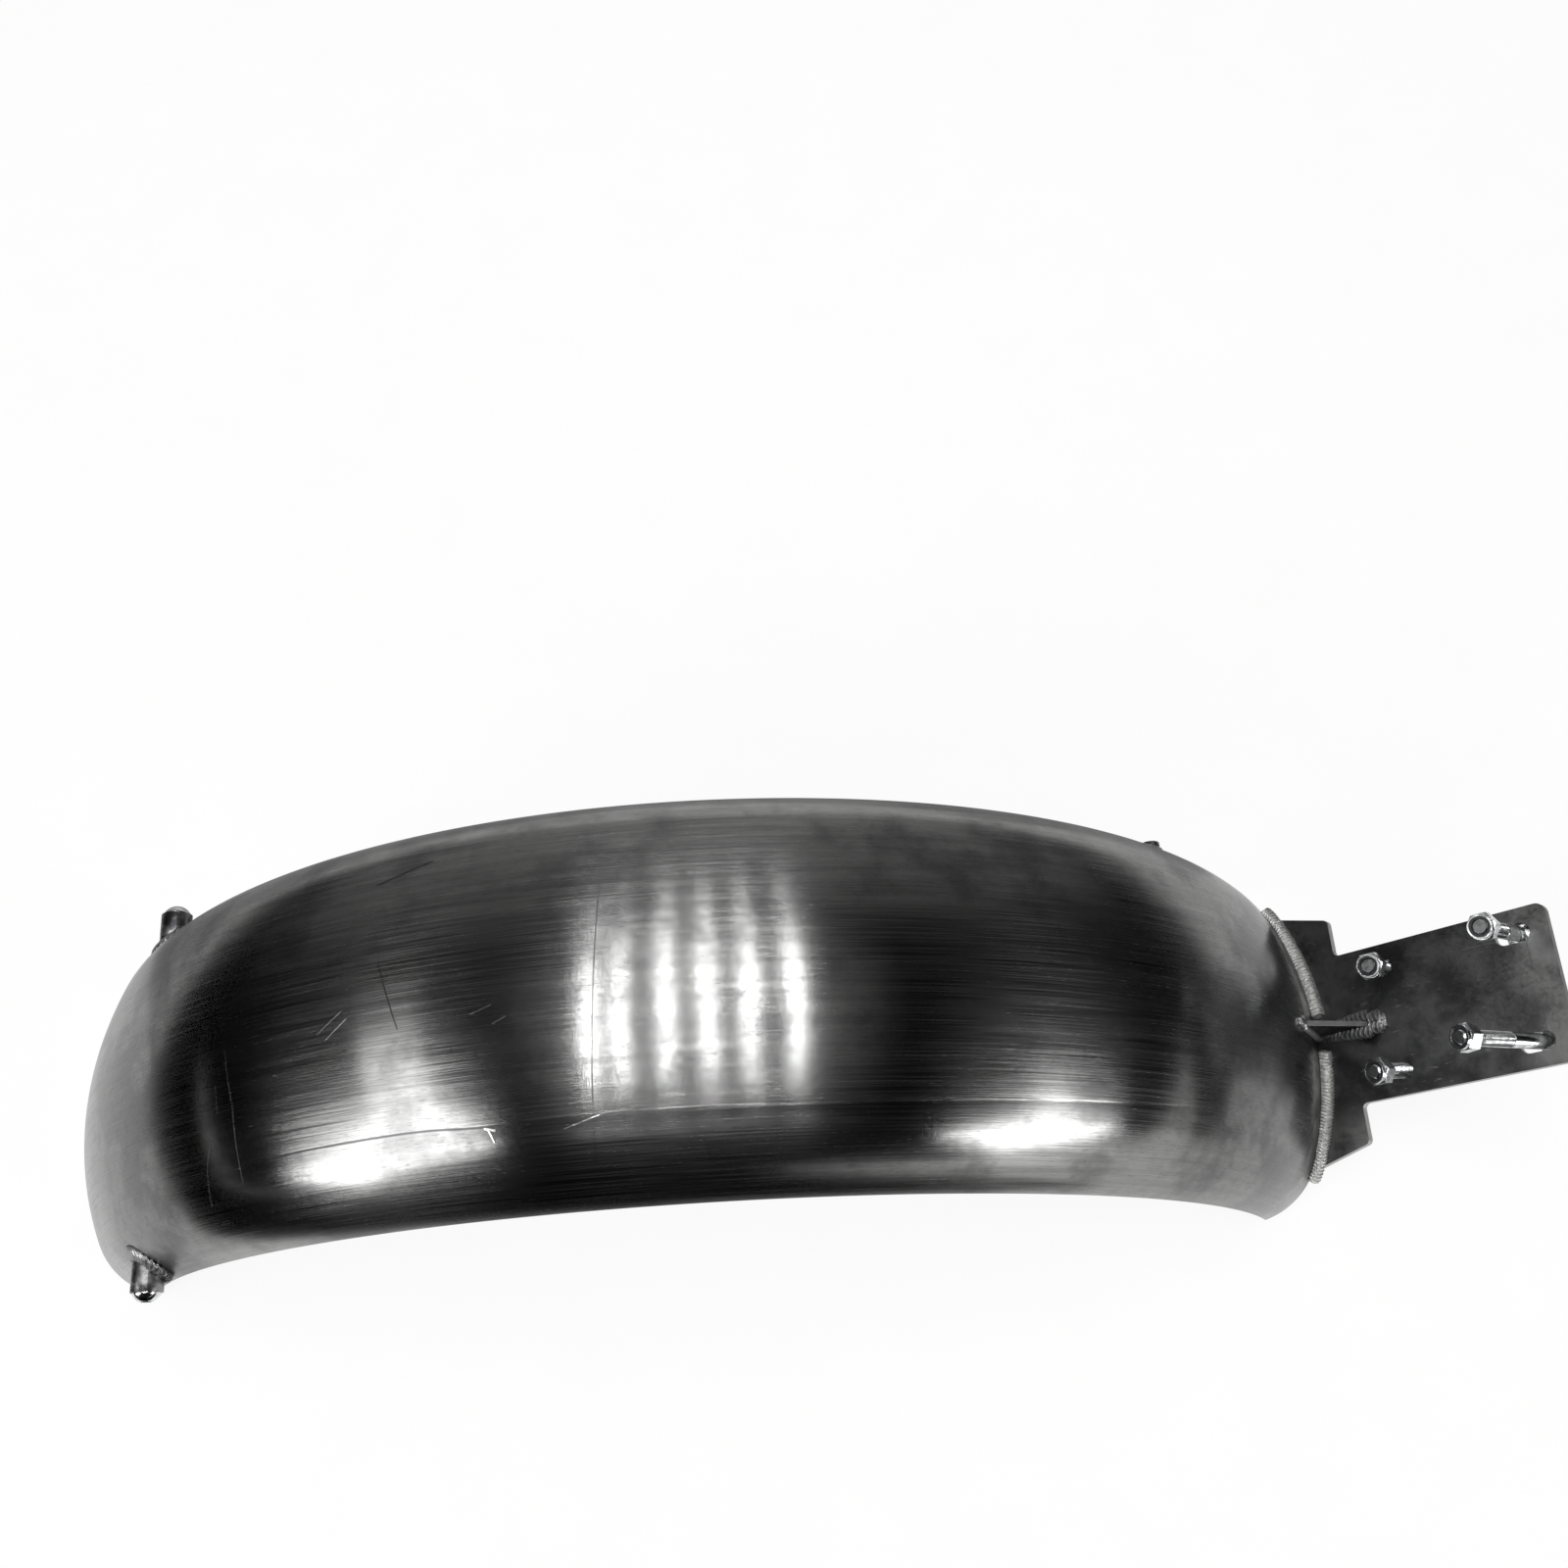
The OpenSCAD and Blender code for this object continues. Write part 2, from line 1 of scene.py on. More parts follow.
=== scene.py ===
"""Motorcycle rear fender in bare steel, dressed for a studio picture.

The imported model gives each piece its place. The rolled shell, the welds and the
bolts are made again here with finer forms, and every piece gets its finish.
Lengths are in millimetres in the row's own frame until a mesh is made.
"""

from __future__ import annotations

import json
import logging
import math
from dataclasses import dataclass, field
from enum import Enum
from functools import reduce
from typing import Callable, Iterable, Sequence, Union

import bmesh
import bpy
from mathutils import Matrix, Vector, noise

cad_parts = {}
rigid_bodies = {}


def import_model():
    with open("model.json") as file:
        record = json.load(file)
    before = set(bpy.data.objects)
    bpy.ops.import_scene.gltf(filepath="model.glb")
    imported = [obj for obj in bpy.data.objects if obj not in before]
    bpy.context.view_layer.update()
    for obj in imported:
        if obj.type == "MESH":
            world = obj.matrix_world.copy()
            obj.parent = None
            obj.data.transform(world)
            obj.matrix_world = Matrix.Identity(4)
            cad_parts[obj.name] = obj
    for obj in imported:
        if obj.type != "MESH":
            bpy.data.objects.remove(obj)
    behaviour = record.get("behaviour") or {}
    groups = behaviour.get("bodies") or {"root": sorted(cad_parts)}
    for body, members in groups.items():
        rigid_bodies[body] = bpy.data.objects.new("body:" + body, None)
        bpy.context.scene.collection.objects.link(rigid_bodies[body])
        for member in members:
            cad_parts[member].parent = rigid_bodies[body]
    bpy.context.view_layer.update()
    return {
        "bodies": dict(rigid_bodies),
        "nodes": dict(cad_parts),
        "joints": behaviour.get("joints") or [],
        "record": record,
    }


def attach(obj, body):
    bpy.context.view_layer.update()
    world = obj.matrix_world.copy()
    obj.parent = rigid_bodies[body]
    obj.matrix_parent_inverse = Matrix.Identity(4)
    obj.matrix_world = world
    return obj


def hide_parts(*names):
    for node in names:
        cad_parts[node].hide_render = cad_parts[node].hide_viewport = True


LOG = logging.getLogger("fender")
MM = 0.001

Ring = list[Vector]
Socket = bpy.types.NodeSocket
Feed = Union[Socket, float, str, Sequence[float]]


# ---------------------------------------------------------------- helpers


def linear(hex_colour: str) -> tuple[float, float, float, float]:
    """Turns an sRGB hex colour into linear values.

    Args:
        hex_colour: Six hex digits after a hash sign.

    Returns:
        Linear red, green and blue, and an alpha of 1.
    """
    parts = [int(hex_colour[i : i + 2], 16) / 255 for i in (1, 3, 5)]
    red, green, blue = (
        p / 12.92 if p <= 0.04045 else ((p + 0.055) / 1.055) ** 2.4 for p in parts
    )
    return red, green, blue, 1.0


def unit(x: float, y: float) -> Vector:
    """Returns the flat direction of x and y."""
    return Vector((x, y)).normalized()


def new_piece(
    name: str,
    verts: Sequence[Vector],
    faces: Sequence[Sequence[int]],
    material: bpy.types.Material,
    smooth_deg: float = 30.0,
) -> bpy.types.Object:
    """Makes a mesh object from points in millimetres.

    Args:
        name: Name of the piece.
        verts: Points in the row's frame.
        faces: Corners of each face.
        material: Finish of the whole piece.
        smooth_deg: Edges below this angle are shaded smooth.

    Returns:
        The linked object.
    """
    mesh = bpy.data.meshes.new(name)
    mesh.from_pydata([v * MM for v in verts], [], faces)
    if len(faces) > 1:
        outward = bmesh.new()
        outward.from_mesh(mesh)
        bmesh.ops.recalc_face_normals(outward, faces=outward.faces)
        outward.to_mesh(mesh)
        outward.free()
    mesh.materials.append(material)
    mesh.validate()
    mesh.shade_smooth()
    mesh.set_sharp_from_angle(angle=math.radians(smooth_deg))
    obj = bpy.data.objects.new(name, mesh)
    bpy.context.scene.collection.objects.link(obj)
    return obj


def skin(
    rings: Sequence[Ring], closed: bool = False
) -> tuple[list[Vector], list[tuple[int, ...]]]:
    """Covers a row of rings that have the same number of points.

    Args:
        rings: Rings of points, each one closed on itself.
        closed: Whether the last ring joins the first one.

    Returns:
        The points and the faces. An open row is capped at both ends.
    """
    count, size = len(rings), len(rings[0])
    faces: list[tuple[int, ...]] = []
    for i in range(count if closed else count - 1):
        a, b = i * size, ((i + 1) % count) * size
        for j in range(size):
            k = (j + 1) % size
            faces.append((a + j, a + k, b + k, b + j))
    if not closed:
        faces.append(tuple(range(size - 1, -1, -1)))
        faces.append(tuple((count - 1) * size + j for j in range(size)))
    return [p for ring in rings for p in ring], faces


# ---------------------------------------------------------------- places


class Side(Enum):
    """The two sides of the fender, seen from above with the plate on the right."""

    NEAR = -1
    FAR = 1


@dataclass(frozen=True)
class SkirtPiece:
    """A round piece on a skirt: its place round the wheel, its size, its bore and its weld."""

    angle: float
    depth: float
    radius: float
    bore_r: float
    weld_leg: float
    weld_front: float


BOSS = SkirtPiece(angle=-55.4, depth=30.5, radius=8.0, bore_r=4.1, weld_leg=3.6, weld_front=3.5)
BUSH = SkirtPiece(angle=48.5, depth=37.3, radius=5.0, bore_r=5.0, weld_leg=1.2, weld_front=0.0)


@dataclass(frozen=True)
class Wheel:
    """The wheel that the fender follows, and how the fender lies on the floor."""

    crown_r: float = 365.0
    skirt_depth: float = 44.5
    tail_angle: float = 69.0
    tail_corner_r: float = 10.0
    front_angle: float = 66.7
    front_corner_trim: float = 7.0
    plate_tilt: float = 20.5
    plate_t: float = 4.0
    tongue_len: float = 132.5

    @property
    def skirt_r(self) -> float:
        """Radius of the skirt edges."""
        return self.crown_r - self.skirt_depth

    @property
    def plate_dir(self) -> float:
        """Direction of the tongue, in degrees from straight up."""
        return self.front_angle - self.plate_tilt

    @property
    def plate_off(self) -> float:
        """Distance between the axle and the plate's upper face."""
        return self.crown_r * math.sin(math.radians(self.plate_tilt))

    @staticmethod
    def polar(radius: float, angle: float, y: float = 0.0) -> Vector:
        """Returns the point at a radius and an angle from the top, in degrees."""
        turn = math.radians(angle)
        return Vector((radius * math.sin(turn), y, radius * math.cos(turn)))

    def plate_edge_angle(self, radius: float) -> float:
        """Returns the angle at which the plate's upper face cuts a radius."""
        return self.plate_dir + math.degrees(math.asin(self.plate_off / radius))

    @property
    def front_corner(self) -> Vector:
        """Skirt corner at the front end, in the wheel's frame."""
        trim = math.degrees(self.front_corner_trim / self.skirt_r)
        return self.polar(self.skirt_r, self.plate_edge_angle(self.skirt_r) - trim)

    @property
    def tail_round_angle(self) -> float:
        """Angle of the middle of the tail corners' rounding, before the top."""
        sine = self.tail_corner_r / (self.skirt_r + self.tail_corner_r)
        return self.tail_angle - math.degrees(math.asin(sine))

    def lay(self) -> Matrix:
        """Lays the fender on the floor, on its tail corners and its front corners.

        Returns:
            Matrix from the wheel's frame to the row's frame.
        """
        tail = self.polar(self.skirt_r + self.tail_corner_r, -self.tail_round_angle)
        front = self.front_corner
        run = front - tail
        lean = math.asin(self.tail_corner_r / run.length) + math.atan2(run.z, run.x)
        floor_z = front.z * math.cos(lean) - front.x * math.sin(lean)
        lean_deg = math.degrees(lean)
        tongue = math.radians(self.plate_dir) + lean
        tail_x = -self.crown_r * math.sin(math.radians(self.tail_angle - lean_deg))
        tongue_x = (
            self.polar(self.crown_r, self.front_angle + lean_deg).x
            + self.tongue_len * math.sin(tongue)
            + self.plate_t * math.cos(tongue)
        )
        shift = Vector((-(tail_x + tongue_x) / 2, 0, -floor_z))
        return Matrix.Translation(shift) @ Matrix.Rotation(lean, 4, "Y")

    def plate(self) -> Matrix:
        """Returns the plate's frame: x along the tongue, z out of its upper face."""
        turn = Matrix.Rotation(math.radians(self.plate_dir - 90), 4, "Y")
        return self.lay() @ Matrix.Translation(self.polar(self.crown_r, self.front_angle)) @ turn

    def skirt(self, piece: SkirtPiece, side: Side) -> Matrix:
        """Returns the frame of a round piece on a skirt, with z out of the skirt.

        Args:
            piece: Round piece.
            side: Skirt that carries it.

        Returns:
            Matrix to the row's frame.
        """
        mirror = Matrix.Scale(side.value, 4, Vector((0, 1, 0)))
        turn = Matrix.Rotation(math.radians(piece.angle), 4, "Y")
        height = Matrix.Translation(Vector((0, 0, self.crown_r - piece.depth)))
        outward = Matrix.Rotation(math.radians(-90), 4, "X")
        return self.lay() @ mirror @ turn @ height @ outward


@dataclass(frozen=True)
class Section:
    """Cross-section of the shell: a flat crown arc between two shoulder arcs."""

    shell_w: float = 185.0
    crown_arc_r: float = 172.0
    shoulder_r: float = 45.0
    sheet_t: float = 2.0

    @property
    def shoulder_y(self) -> float:
        """Distance of a shoulder arc's centre from the middle plane."""
        return self.shell_w / 2 - self.shoulder_r

    @property
    def shoulder_v(self) -> float:
        """Depth of a shoulder arc's centre below the crown."""
        return self.crown_arc_r - math.sqrt((self.crown_arc_r - self.shoulder_r) ** 2 - self.shoulder_y**2)

    @property
    def blend(self) -> float:
        """Lean of the skin where the arcs meet, in radians."""
        return math.atan2(self.shoulder_y, self.crown_arc_r - self.shoulder_v)

    def reach(self, depth: float) -> float:
        """Returns the way along the skin from the crown's middle down to a depth."""
        lean = math.acos((self.shoulder_v - depth) / self.shoulder_r)
        return self.crown_arc_r * self.blend + self.shoulder_r * (lean - self.blend)

    def at(self, along: float) -> tuple[float, float, float]:
        """Finds a point of the outer skin.

        Args:
            along: Way along the skin from the crown's middle, to the far side.

        Returns:
            Lateral place, depth below the crown and lean of the skin in radians.
        """
        sign = math.copysign(1.0, along)
        way = abs(along)
        if way < self.crown_arc_r * self.blend:
            lean = way / self.crown_arc_r
            y, depth = self.crown_arc_r * math.sin(lean), self.crown_arc_r * (1 - math.cos(lean))
            return sign * y, depth, sign * lean
        lean = self.blend + (way - self.crown_arc_r * self.blend) / self.shoulder_r
        y = self.shoulder_y + self.shoulder_r * math.sin(lean)
        return sign * y, self.shoulder_v - self.shoulder_r * math.cos(lean), sign * lean

    def half_width(self, depth: float) -> float:
        """Finds half the width of the outer skin.

        Args:
            depth: Distance below the crown.

        Returns:
            Half the width there.
        """
        if depth < self.crown_arc_r * (1 - math.cos(self.blend)):
            return math.sqrt(self.crown_arc_r**2 - (self.crown_arc_r - depth) ** 2)
        return self.shoulder_y + math.sqrt(max(0.0, self.shoulder_r**2 - (self.shoulder_v - depth) ** 2))

    def depth_at(self, y: float) -> float:
        """Finds the depth of the outer skin below the crown.

        Args:
            y: Distance from the middle plane.

        Returns:
            The depth there.
        """
        if abs(y) < self.crown_arc_r * math.sin(self.blend):
            return self.crown_arc_r - math.sqrt(self.crown_arc_r**2 - y * y)
        return self.shoulder_v - math.sqrt(self.shoulder_r**2 - (abs(y) - self.shoulder_y) ** 2)


# ---------------------------------------------------------------- finishes


class Step(Enum):
    """Steps of a finish: a node's type, its settings, the inputs fed in turn and its output."""

    PLUS = ("Math", {"operation": "ADD"}, (0, 1), 0)
    MINUS = ("Math", {"operation": "SUBTRACT"}, (0, 1), 0)
    TIMES = ("Math", {"operation": "MULTIPLY"}, (0, 1), 0)
    HIGHER = ("Math", {"operation": "MAXIMUM"}, (0, 1), 0)
    UNSIGNED = ("Math", {"operation": "ABSOLUTE"}, (0,), 0)
    FRACTION = ("Math", {"operation": "FRACT"}, (0,), 0)
    LIMIT = ("Clamp", {}, (0,), 0)
    CURVE = ("FloatCurve", {}, ("Value",), 0)
    RANGE = ("MapRange", {}, (0, 1, 2, 3, 4), 0)
    FADE = ("MapRange", {"interpolation_type": "SMOOTHSTEP"}, (0, 1, 2, 3, 4), 0)
    BLEND = ("Mix", {"data_type": "RGBA"}, (0, 6, 7), 2)
    SCALE = ("VectorMath", {"operation": "SCALE"}, (0, "Scale"), 0)
    STRETCH = ("VectorMath", {"operation": "MULTIPLY"}, (0, 1), 0)
    OFFSET = ("VectorMath", {"operation": "SUBTRACT"}, (0, 1), 0)
    DISTANCE = ("VectorMath", {"operation": "DISTANCE"}, (0, 1), 1)
    DOT = ("VectorMath", {"operation": "DOT_PRODUCT"}, (0, 1), 1)
    SPLIT = ("SeparateXYZ", {}, (0,), 0)
    NOISE = ("TexNoise", {}, ("Vector", "Scale", "Detail", "Roughness"), "Fac")
    BUMP = ("Bump", {}, ("Height", "Strength", "Distance", "Normal"), 0)
    PLACE = ("TexCoord", {}, (), "Object")
    DIRECTION = ("TexCoord", {}, (), "Generated")
    UV = ("UVMap", {}, (), 0)
    TANGENT = ("Tangent", {"direction_type": "UV_MAP"}, (), 0)
    FACE = ("NewGeometry", {}, (), "True Normal")
    LIGHT_PATH = ("LightPath", {}, (), "Is Camera Ray")
    MATT = ("BsdfDiffuse", {}, ("Color", "Roughness"), 0)
    GLOW = ("Emission", {}, ("Color", "Strength"), 0)
    LAYER = ("MixShader", {}, (0, 1, 2), 0)
    SURFACE = ("BsdfPrincipled", {}, (), 0)
    ROOM = ("Background", {}, ("Color", "Strength"), 0)
    SURFACE_END = ("OutputMaterial", {}, ("Surface",), "Surface")
    ROOM_END = ("OutputWorld", {}, ("Surface",), "Surface")


@dataclass(frozen=True)
class Grain:
    """A noise pattern: its grain size along each axis in millimetres, and its finer layers."""

    size: tuple[float, float, float]
    layers: float = 3.0
    strength: float = 0.55


@dataclass(frozen=True)
class Scratch:
    """A straight mark on the sheet, placed along and across it in millimetres."""

    start: tuple[float, float]
    end: tuple[float, float]
    width: float = 0.5


@dataclass(frozen=True)
class Burn:
    """A patch that welding has darkened, as a ball in the row's frame."""

    centre: Vector
    radius: float

    def on(self, frame: Matrix) -> Burn:
        """Returns the patch as it lies when its centre is given in a frame."""
        return Burn(frame @ self.centre, self.radius)


class Finish:
    """A material with its node tree, and what most of the finishes share."""

    def __init__(self, name: str, of_room: bool = False) -> None:
        """Starts the material.

        Args:
            name: Name in a maker's words.
            of_room: Whether it is the room round the scene.
        """
        self.material = (bpy.data.worlds if of_room else bpy.data.materials).new(name)
        self.material.use_nodes = True
        self.tree = self.material.node_tree
        self.tree.nodes.clear()

    def add(
        self, step: Step, *feeds: Feed, inputs: dict[str, Feed] | None = None, **settings: object
    ) -> Socket:
        """Adds a node with its settings, its input values and the links into it.

        Args:
            step: What the node does.
            *feeds: Value, hex colour or source socket for each input in turn.
            inputs: The same for inputs by their names.
            **settings: More properties of the node.

        Returns:
            Its output, or its first input when it has none.
        """
        kind, fixed, fed, output = step.value
        node = self.tree.nodes.new(f"ShaderNode{kind}")
        for name, value in {**fixed, **settings}.items():
            setattr(node, name, value)
        for key, value in [*zip(fed, feeds), *(inputs or {}).items()]:
            if isinstance(value, bpy.types.NodeSocket):
                self.tree.links.new(value, node.inputs[key])
            else:
                node.inputs[key].default_value = linear(value) if isinstance(value, str) else value
        return (node.outputs or node.inputs)[output]

    def place(self) -> Socket:
        """Returns the place in the row's frame, in millimetres."""
        return self.add(Step.SCALE, self.add(Step.PLACE), 1 / MM)

    def grain(self, place: Socket, grain: Grain) -> Socket:
        """Returns a noise from 0 to 1, mostly near 0.5, at a place in millimetres."""
        scaled = self.add(Step.STRETCH, place, tuple(1 / s for s in grain.size))
        return self.add(Step.NOISE, scaled, 1.0, grain.layers, grain.strength)

    def chain(self, step: Step, *parts: Feed) -> Socket:
        """Joins several values by the same step, one after the other."""
        return reduce(lambda a, b: self.add(step, a, b), parts)

    def burns(self, place: Socket, burns: Sequence[Burn], edge: Socket) -> Socket:
        """Adds the darkening round welds.

        Args:
            place: Coordinates in millimetres.
            burns: Darkened patches.
            edge: Noise that frays their edges.

        Returns:
            1 in the middle of a patch and 0 outside them all.
        """
        patches = []
        for burn in burns:
            far = self.add(Step.DISTANCE, place, tuple(burn.centre))
            fray = 0.35 * burn.radius
            frayed = self.add(Step.PLUS, far, self.add(Step.FADE, edge, 0.3, 0.7, -fray, fray))
            patches.append(self.add(Step.FADE, frayed, burn.radius, 0.45 * burn.radius))
        return self.chain(Step.HIGHER, *patches)

    def finish(self, inputs: dict[str, Feed]) -> bpy.types.Material:
        """Closes the tree with a surface shader that has these inputs, and returns the material."""
        self.add(Step.SURFACE_END, self.add(Step.SURFACE, inputs=inputs))
        return self.material

    def metal(self, colour: Feed, roughness: Feed, normal: Socket, **more: Feed) -> bpy.types.Material:
        """Closes the tree as a metal.

        Args:
            colour: Colour of the metal.
            roughness: Roughness of its surface.
            normal: Relief of its surface.
            **more: Further inputs of the shader, with underscores for spaces.

        Returns:
            The material.
        """
        inputs = {"Base Color": colour, "Metallic": 1.0, "Roughness": roughness, "Normal": normal}
        return self.finish({**inputs, **{name.replace("_", " "): feed for name, feed in more.items()}})


@dataclass(frozen=True)
class BrushedSheetSteel:
    """Cold rolled mild steel sheet, rolled to shape and brushed along its length.

    The brushing draws each highlight out across the sheet, so lamps show as bars.
    The bare metal is mottled where it has been handled and dark where it was welded.
    The roll line has painted shade along it and below it, and a painted highlight over it.
    """

    bright: str = "#979796"
    dull: str = "#5c5c5c"
    # Colour of burns and heat, and also of the painted shade along the roll line.
    burnt: str = "#2f2f31"
    # Colour of bright scratches, and of the painted highlight on the roll line.
    scratch_and_highlight: str = "#dededc"
    roughness: float = 0.19
    grain_pull: float = 0.93
    # Brush lines are finer than 0.2 mm. They are drawn 0.45 mm wide so that they show.
    brush: Grain = Grain((70.0, 0.45, 1.0), 4.0)
    bands: Grain = Grain((160.0, 5.0, 1.0))
    stains: Grain = Grain((38.0, 38.0, 38.0), 6.0, 0.6)
    specks: Grain = Grain((1.6, 1.6, 1.6), 2.0)
    waves: Grain = Grain((90.0, 60.0, 1.0), 1.0)
    mottle: Grain = Grain((4.5, 4.5, 4.5), 5.0, 0.7)
    smoke: Grain = Grain((9.0, 9.0, 9.0), 4.0)
    glints: Grain = Grain((22.0, 2.0, 1.0))
    # Pits are drawn out by the brushing. They are a tenth of a millimetre wide, and are
    # drawn 0.8 mm wide so that they show.
    pits: Grain = Grain((6.0, 0.8, 1.0), 3.0, 0.65)
    # Extra roughness of the pits, which scatter a lamp's light far round it.
    pitted: float = 0.03
    # The ends were handled and heated more than the middle, the tail most of all.
    tail_worn: tuple[float, float] = (-225.0, -330.0)
    front_worn: tuple[float, ...] = (225.0, 330.0, 0.0, 0.7)
    # The long weld's heat has dulled the front end between the skirts.
    heat_along: tuple[float, float] = (396.0, 418.0)
    heat_across: tuple[float, float] = (92.0, 66.0)
    # Roll line: where it runs across the sheet, at places along it, and how its ends fade.
    roll_line: tuple[tuple[float, float], ...] = (
        (-210.0, -61.5),
        (-120.0, -58.0),
        (-70.0, -59.5),
        (0.0, -59.0),
        (60.0, -59.8),
        (150.0, -59.0),
        (200.0, -58.3),
        (270.0, -56.5),
    )
    line_tail: tuple[float, float] = (-215.0, -170.0)
    line_front: tuple[float, float] = (275.0, 235.0)
    bright_marks: tuple[Scratch, ...] = (
        Scratch((-215, -8), (-211, -33), 0.45),
        Scratch((-211, -33), (-213, -67), 0.6),
        Scratch((-231, -48), (-236, -56), 0.5),
        Scratch((-236, -56), (-241, -74), 0.5),
        Scratch((-222, -21), (-222, -34), 0.4),
        Scratch((-43, -63.5), (-27, -59), 0.35),
        Scratch((-78, -60.2), (-73.5, -61.2), 0.7),
        Scratch((-76.5, -61), (-74.5, -66), 0.6),
        Scratch((-80.5, -12), (-71.6, -9.2), 0.35),
        Scratch((-70.7, -17.1), (-65.2, -14.8), 0.35),
        Scratch((-157.5, -10.1), (-144.7, -1.9), 0.35),
        Scratch((-152.6, -13.1), (-141.8, -5.5), 0.35),
    )
    dark_marks: tuple[Scratch, ...] = (
        Scratch((-293, 67), (-286, 39), 0.6),
        Scratch((-286, 39), (-282, 22), 0.45),
        Scratch((-282, 22), (-277, -8), 0.35),
        Scratch((-301, 47), (-293, 31), 0.3),
        Scratch((-24, 42), (-31, -80), 0.5),
        Scratch((-262, 79), (-236, 82), 2.6),
        Scratch((-134, 58), (-107, 66), 1.0),
        Scratch((-126, 16.4), (-115.4, -13.8), 0.6),
        Scratch((27, -20), (42.5, -7.4), 0.3),
    )

    def marks(self, f: Finish, sheet: Socket, marks: Iterable[Scratch]) -> Socket:
        """Draws straight marks.

        Args:
            f: Finish that gets the nodes.
            sheet: Coordinates along and across the sheet, in millimetres.
            marks: Marks to draw.

        Returns:
            1 on a mark and 0 beside it.
        """
        lines = []
        for mark in marks:
            run = Vector(mark.end) - Vector(mark.start)
            off = f.add(Step.OFFSET, sheet, (*mark.start, 0))
            share = f.add(Step.LIMIT, f.add(Step.DOT, off, (*(run / run.length_squared), 0)))
            gap = f.add(Step.DISTANCE, off, f.add(Step.SCALE, (*run, 0), share))
            lines.append(f.add(Step.FADE, gap, mark.width, 0.3 * mark.width))
        return f.chain(Step.HIGHER, *lines)

    def below_line(self, f: Finish, along: Socket, across: Socket) -> Socket:
        """Returns how far below the roll line a place is, in millimetres.

        Args:
            f: Finish that gets the nodes.
            along: Place along the sheet, in millimetres.
            across: Place across the sheet, in millimetres.

        Returns:
            Way below the line, less than 0 above it.
        """
        low, high = self.roll_line[0][0], self.roll_line[-1][0]
        deepest = min(y for _, y in self.roll_line)
        span = max(y for _, y in self.roll_line) - deepest
        curve = f.add(Step.CURVE, f.add(Step.RANGE, along, low, high))
        mapping = curve.node.mapping
        bend = mapping.curves[0]
        for _ in self.roll_line[2:]:
            bend.points.new(0.5, 0.5)
        for point, (x, y) in zip(bend.points, self.roll_line):
            point.location = ((x - low) / (high - low), (y - deepest) / span)
        mapping.update()
        return f.add(Step.MINUS, f.add(Step.RANGE, curve, 0.0, 1.0, deepest, deepest + span), across)

    def worked_line(
        self, f: Finish, sheet: Socket, along: Socket, across: Socket, bands: Socket
    ) -> tuple[Socket, Socket, Socket]:
        """Draws the roll line: painted shade as a dark seam, a painted highlight as a bright ridge over it
        and painted shade as a dull crease below it.

        Args:
            f: Finish that gets the nodes.
            sheet: Coordinates along and across the sheet, in millimetres.
            along: Place along the sheet.
            across: Place across the sheet.
            bands: Noise that breaks the seam.

        Returns:
            Strengths of the seam, the ridge and the crease.
        """
        below = self.below_line(f, along, across)
        tail, front = f.add(Step.FADE, along, *self.line_tail), f.add(Step.FADE, along, *self.line_front)
        run = f.add(Step.TIMES, tail, front)
        # Painted shade: a dark line along the roll line, strongest towards the tail.
        seam_shade = f.chain(
            Step.TIMES,
            f.add(Step.FADE, f.add(Step.UNSIGNED, below), 0.75, 0.2),
            f.add(Step.FADE, bands, 0.35, 0.55, 0.3, 0.85),
            run,
            f.add(Step.FADE, along, -60.0, -95.0, 0.35, 1.0),
        )
        above = f.add(Step.UNSIGNED, f.add(Step.PLUS, below, 0.7))
        # Painted highlight: a bright line along the top of the roll line, away from the tail.
        ridge = f.chain(
            Step.TIMES,
            f.add(Step.FADE, above, 0.7, 0.2),
            run,
            f.add(Step.FADE, along, -95.0, -60.0),
            f.add(Step.FADE, f.grain(sheet, self.glints), 0.35, 0.6, 0.05, 0.5),
        )
        # Painted shade: a dark band just below the roll line, where the sheet bends away.
        crease_shade = f.chain(
            Step.TIMES,
            f.add(Step.FADE, below, -0.2, 0.5),
            f.add(Step.FADE, below, 7.0, 1.0),
            run,
            f.add(Step.FADE, along, -70.0, -30.0, 0.15, 0.45),
        )
        return seam_shade, ridge, crease_shade

    def build(self, burns: Sequence[Burn]) -> bpy.types.Material:
        """Builds the finish.

        Args:
            burns: Patches that welding has darkened.

        Returns:
            The material.
        """
        f = Finish("brushed_sheet_steel")
        sheet = f.add(Step.SCALE, f.add(Step.UV, uv_map="Sheet"), 1 / MM)
        along, across = f.add(Step.SPLIT, sheet).node.outputs[:2]
        place = f.place()
        brush, bands = f.grain(sheet, self.brush), f.grain(sheet, self.bands)
        stains, specks = f.grain(place, self.stains), f.grain(place, self.specks)
        pits = f.add(Step.FADE, f.grain(sheet, self.pits), 0.52, 0.7)
        mottle = f.add(Step.FADE, f.grain(place, self.mottle), 0.47, 0.64)
        tail, front = f.add(Step.FADE, along, *self.tail_worn), f.add(Step.FADE, along, *self.front_worn)
        ends = f.add(Step.HIGHER, tail, front)
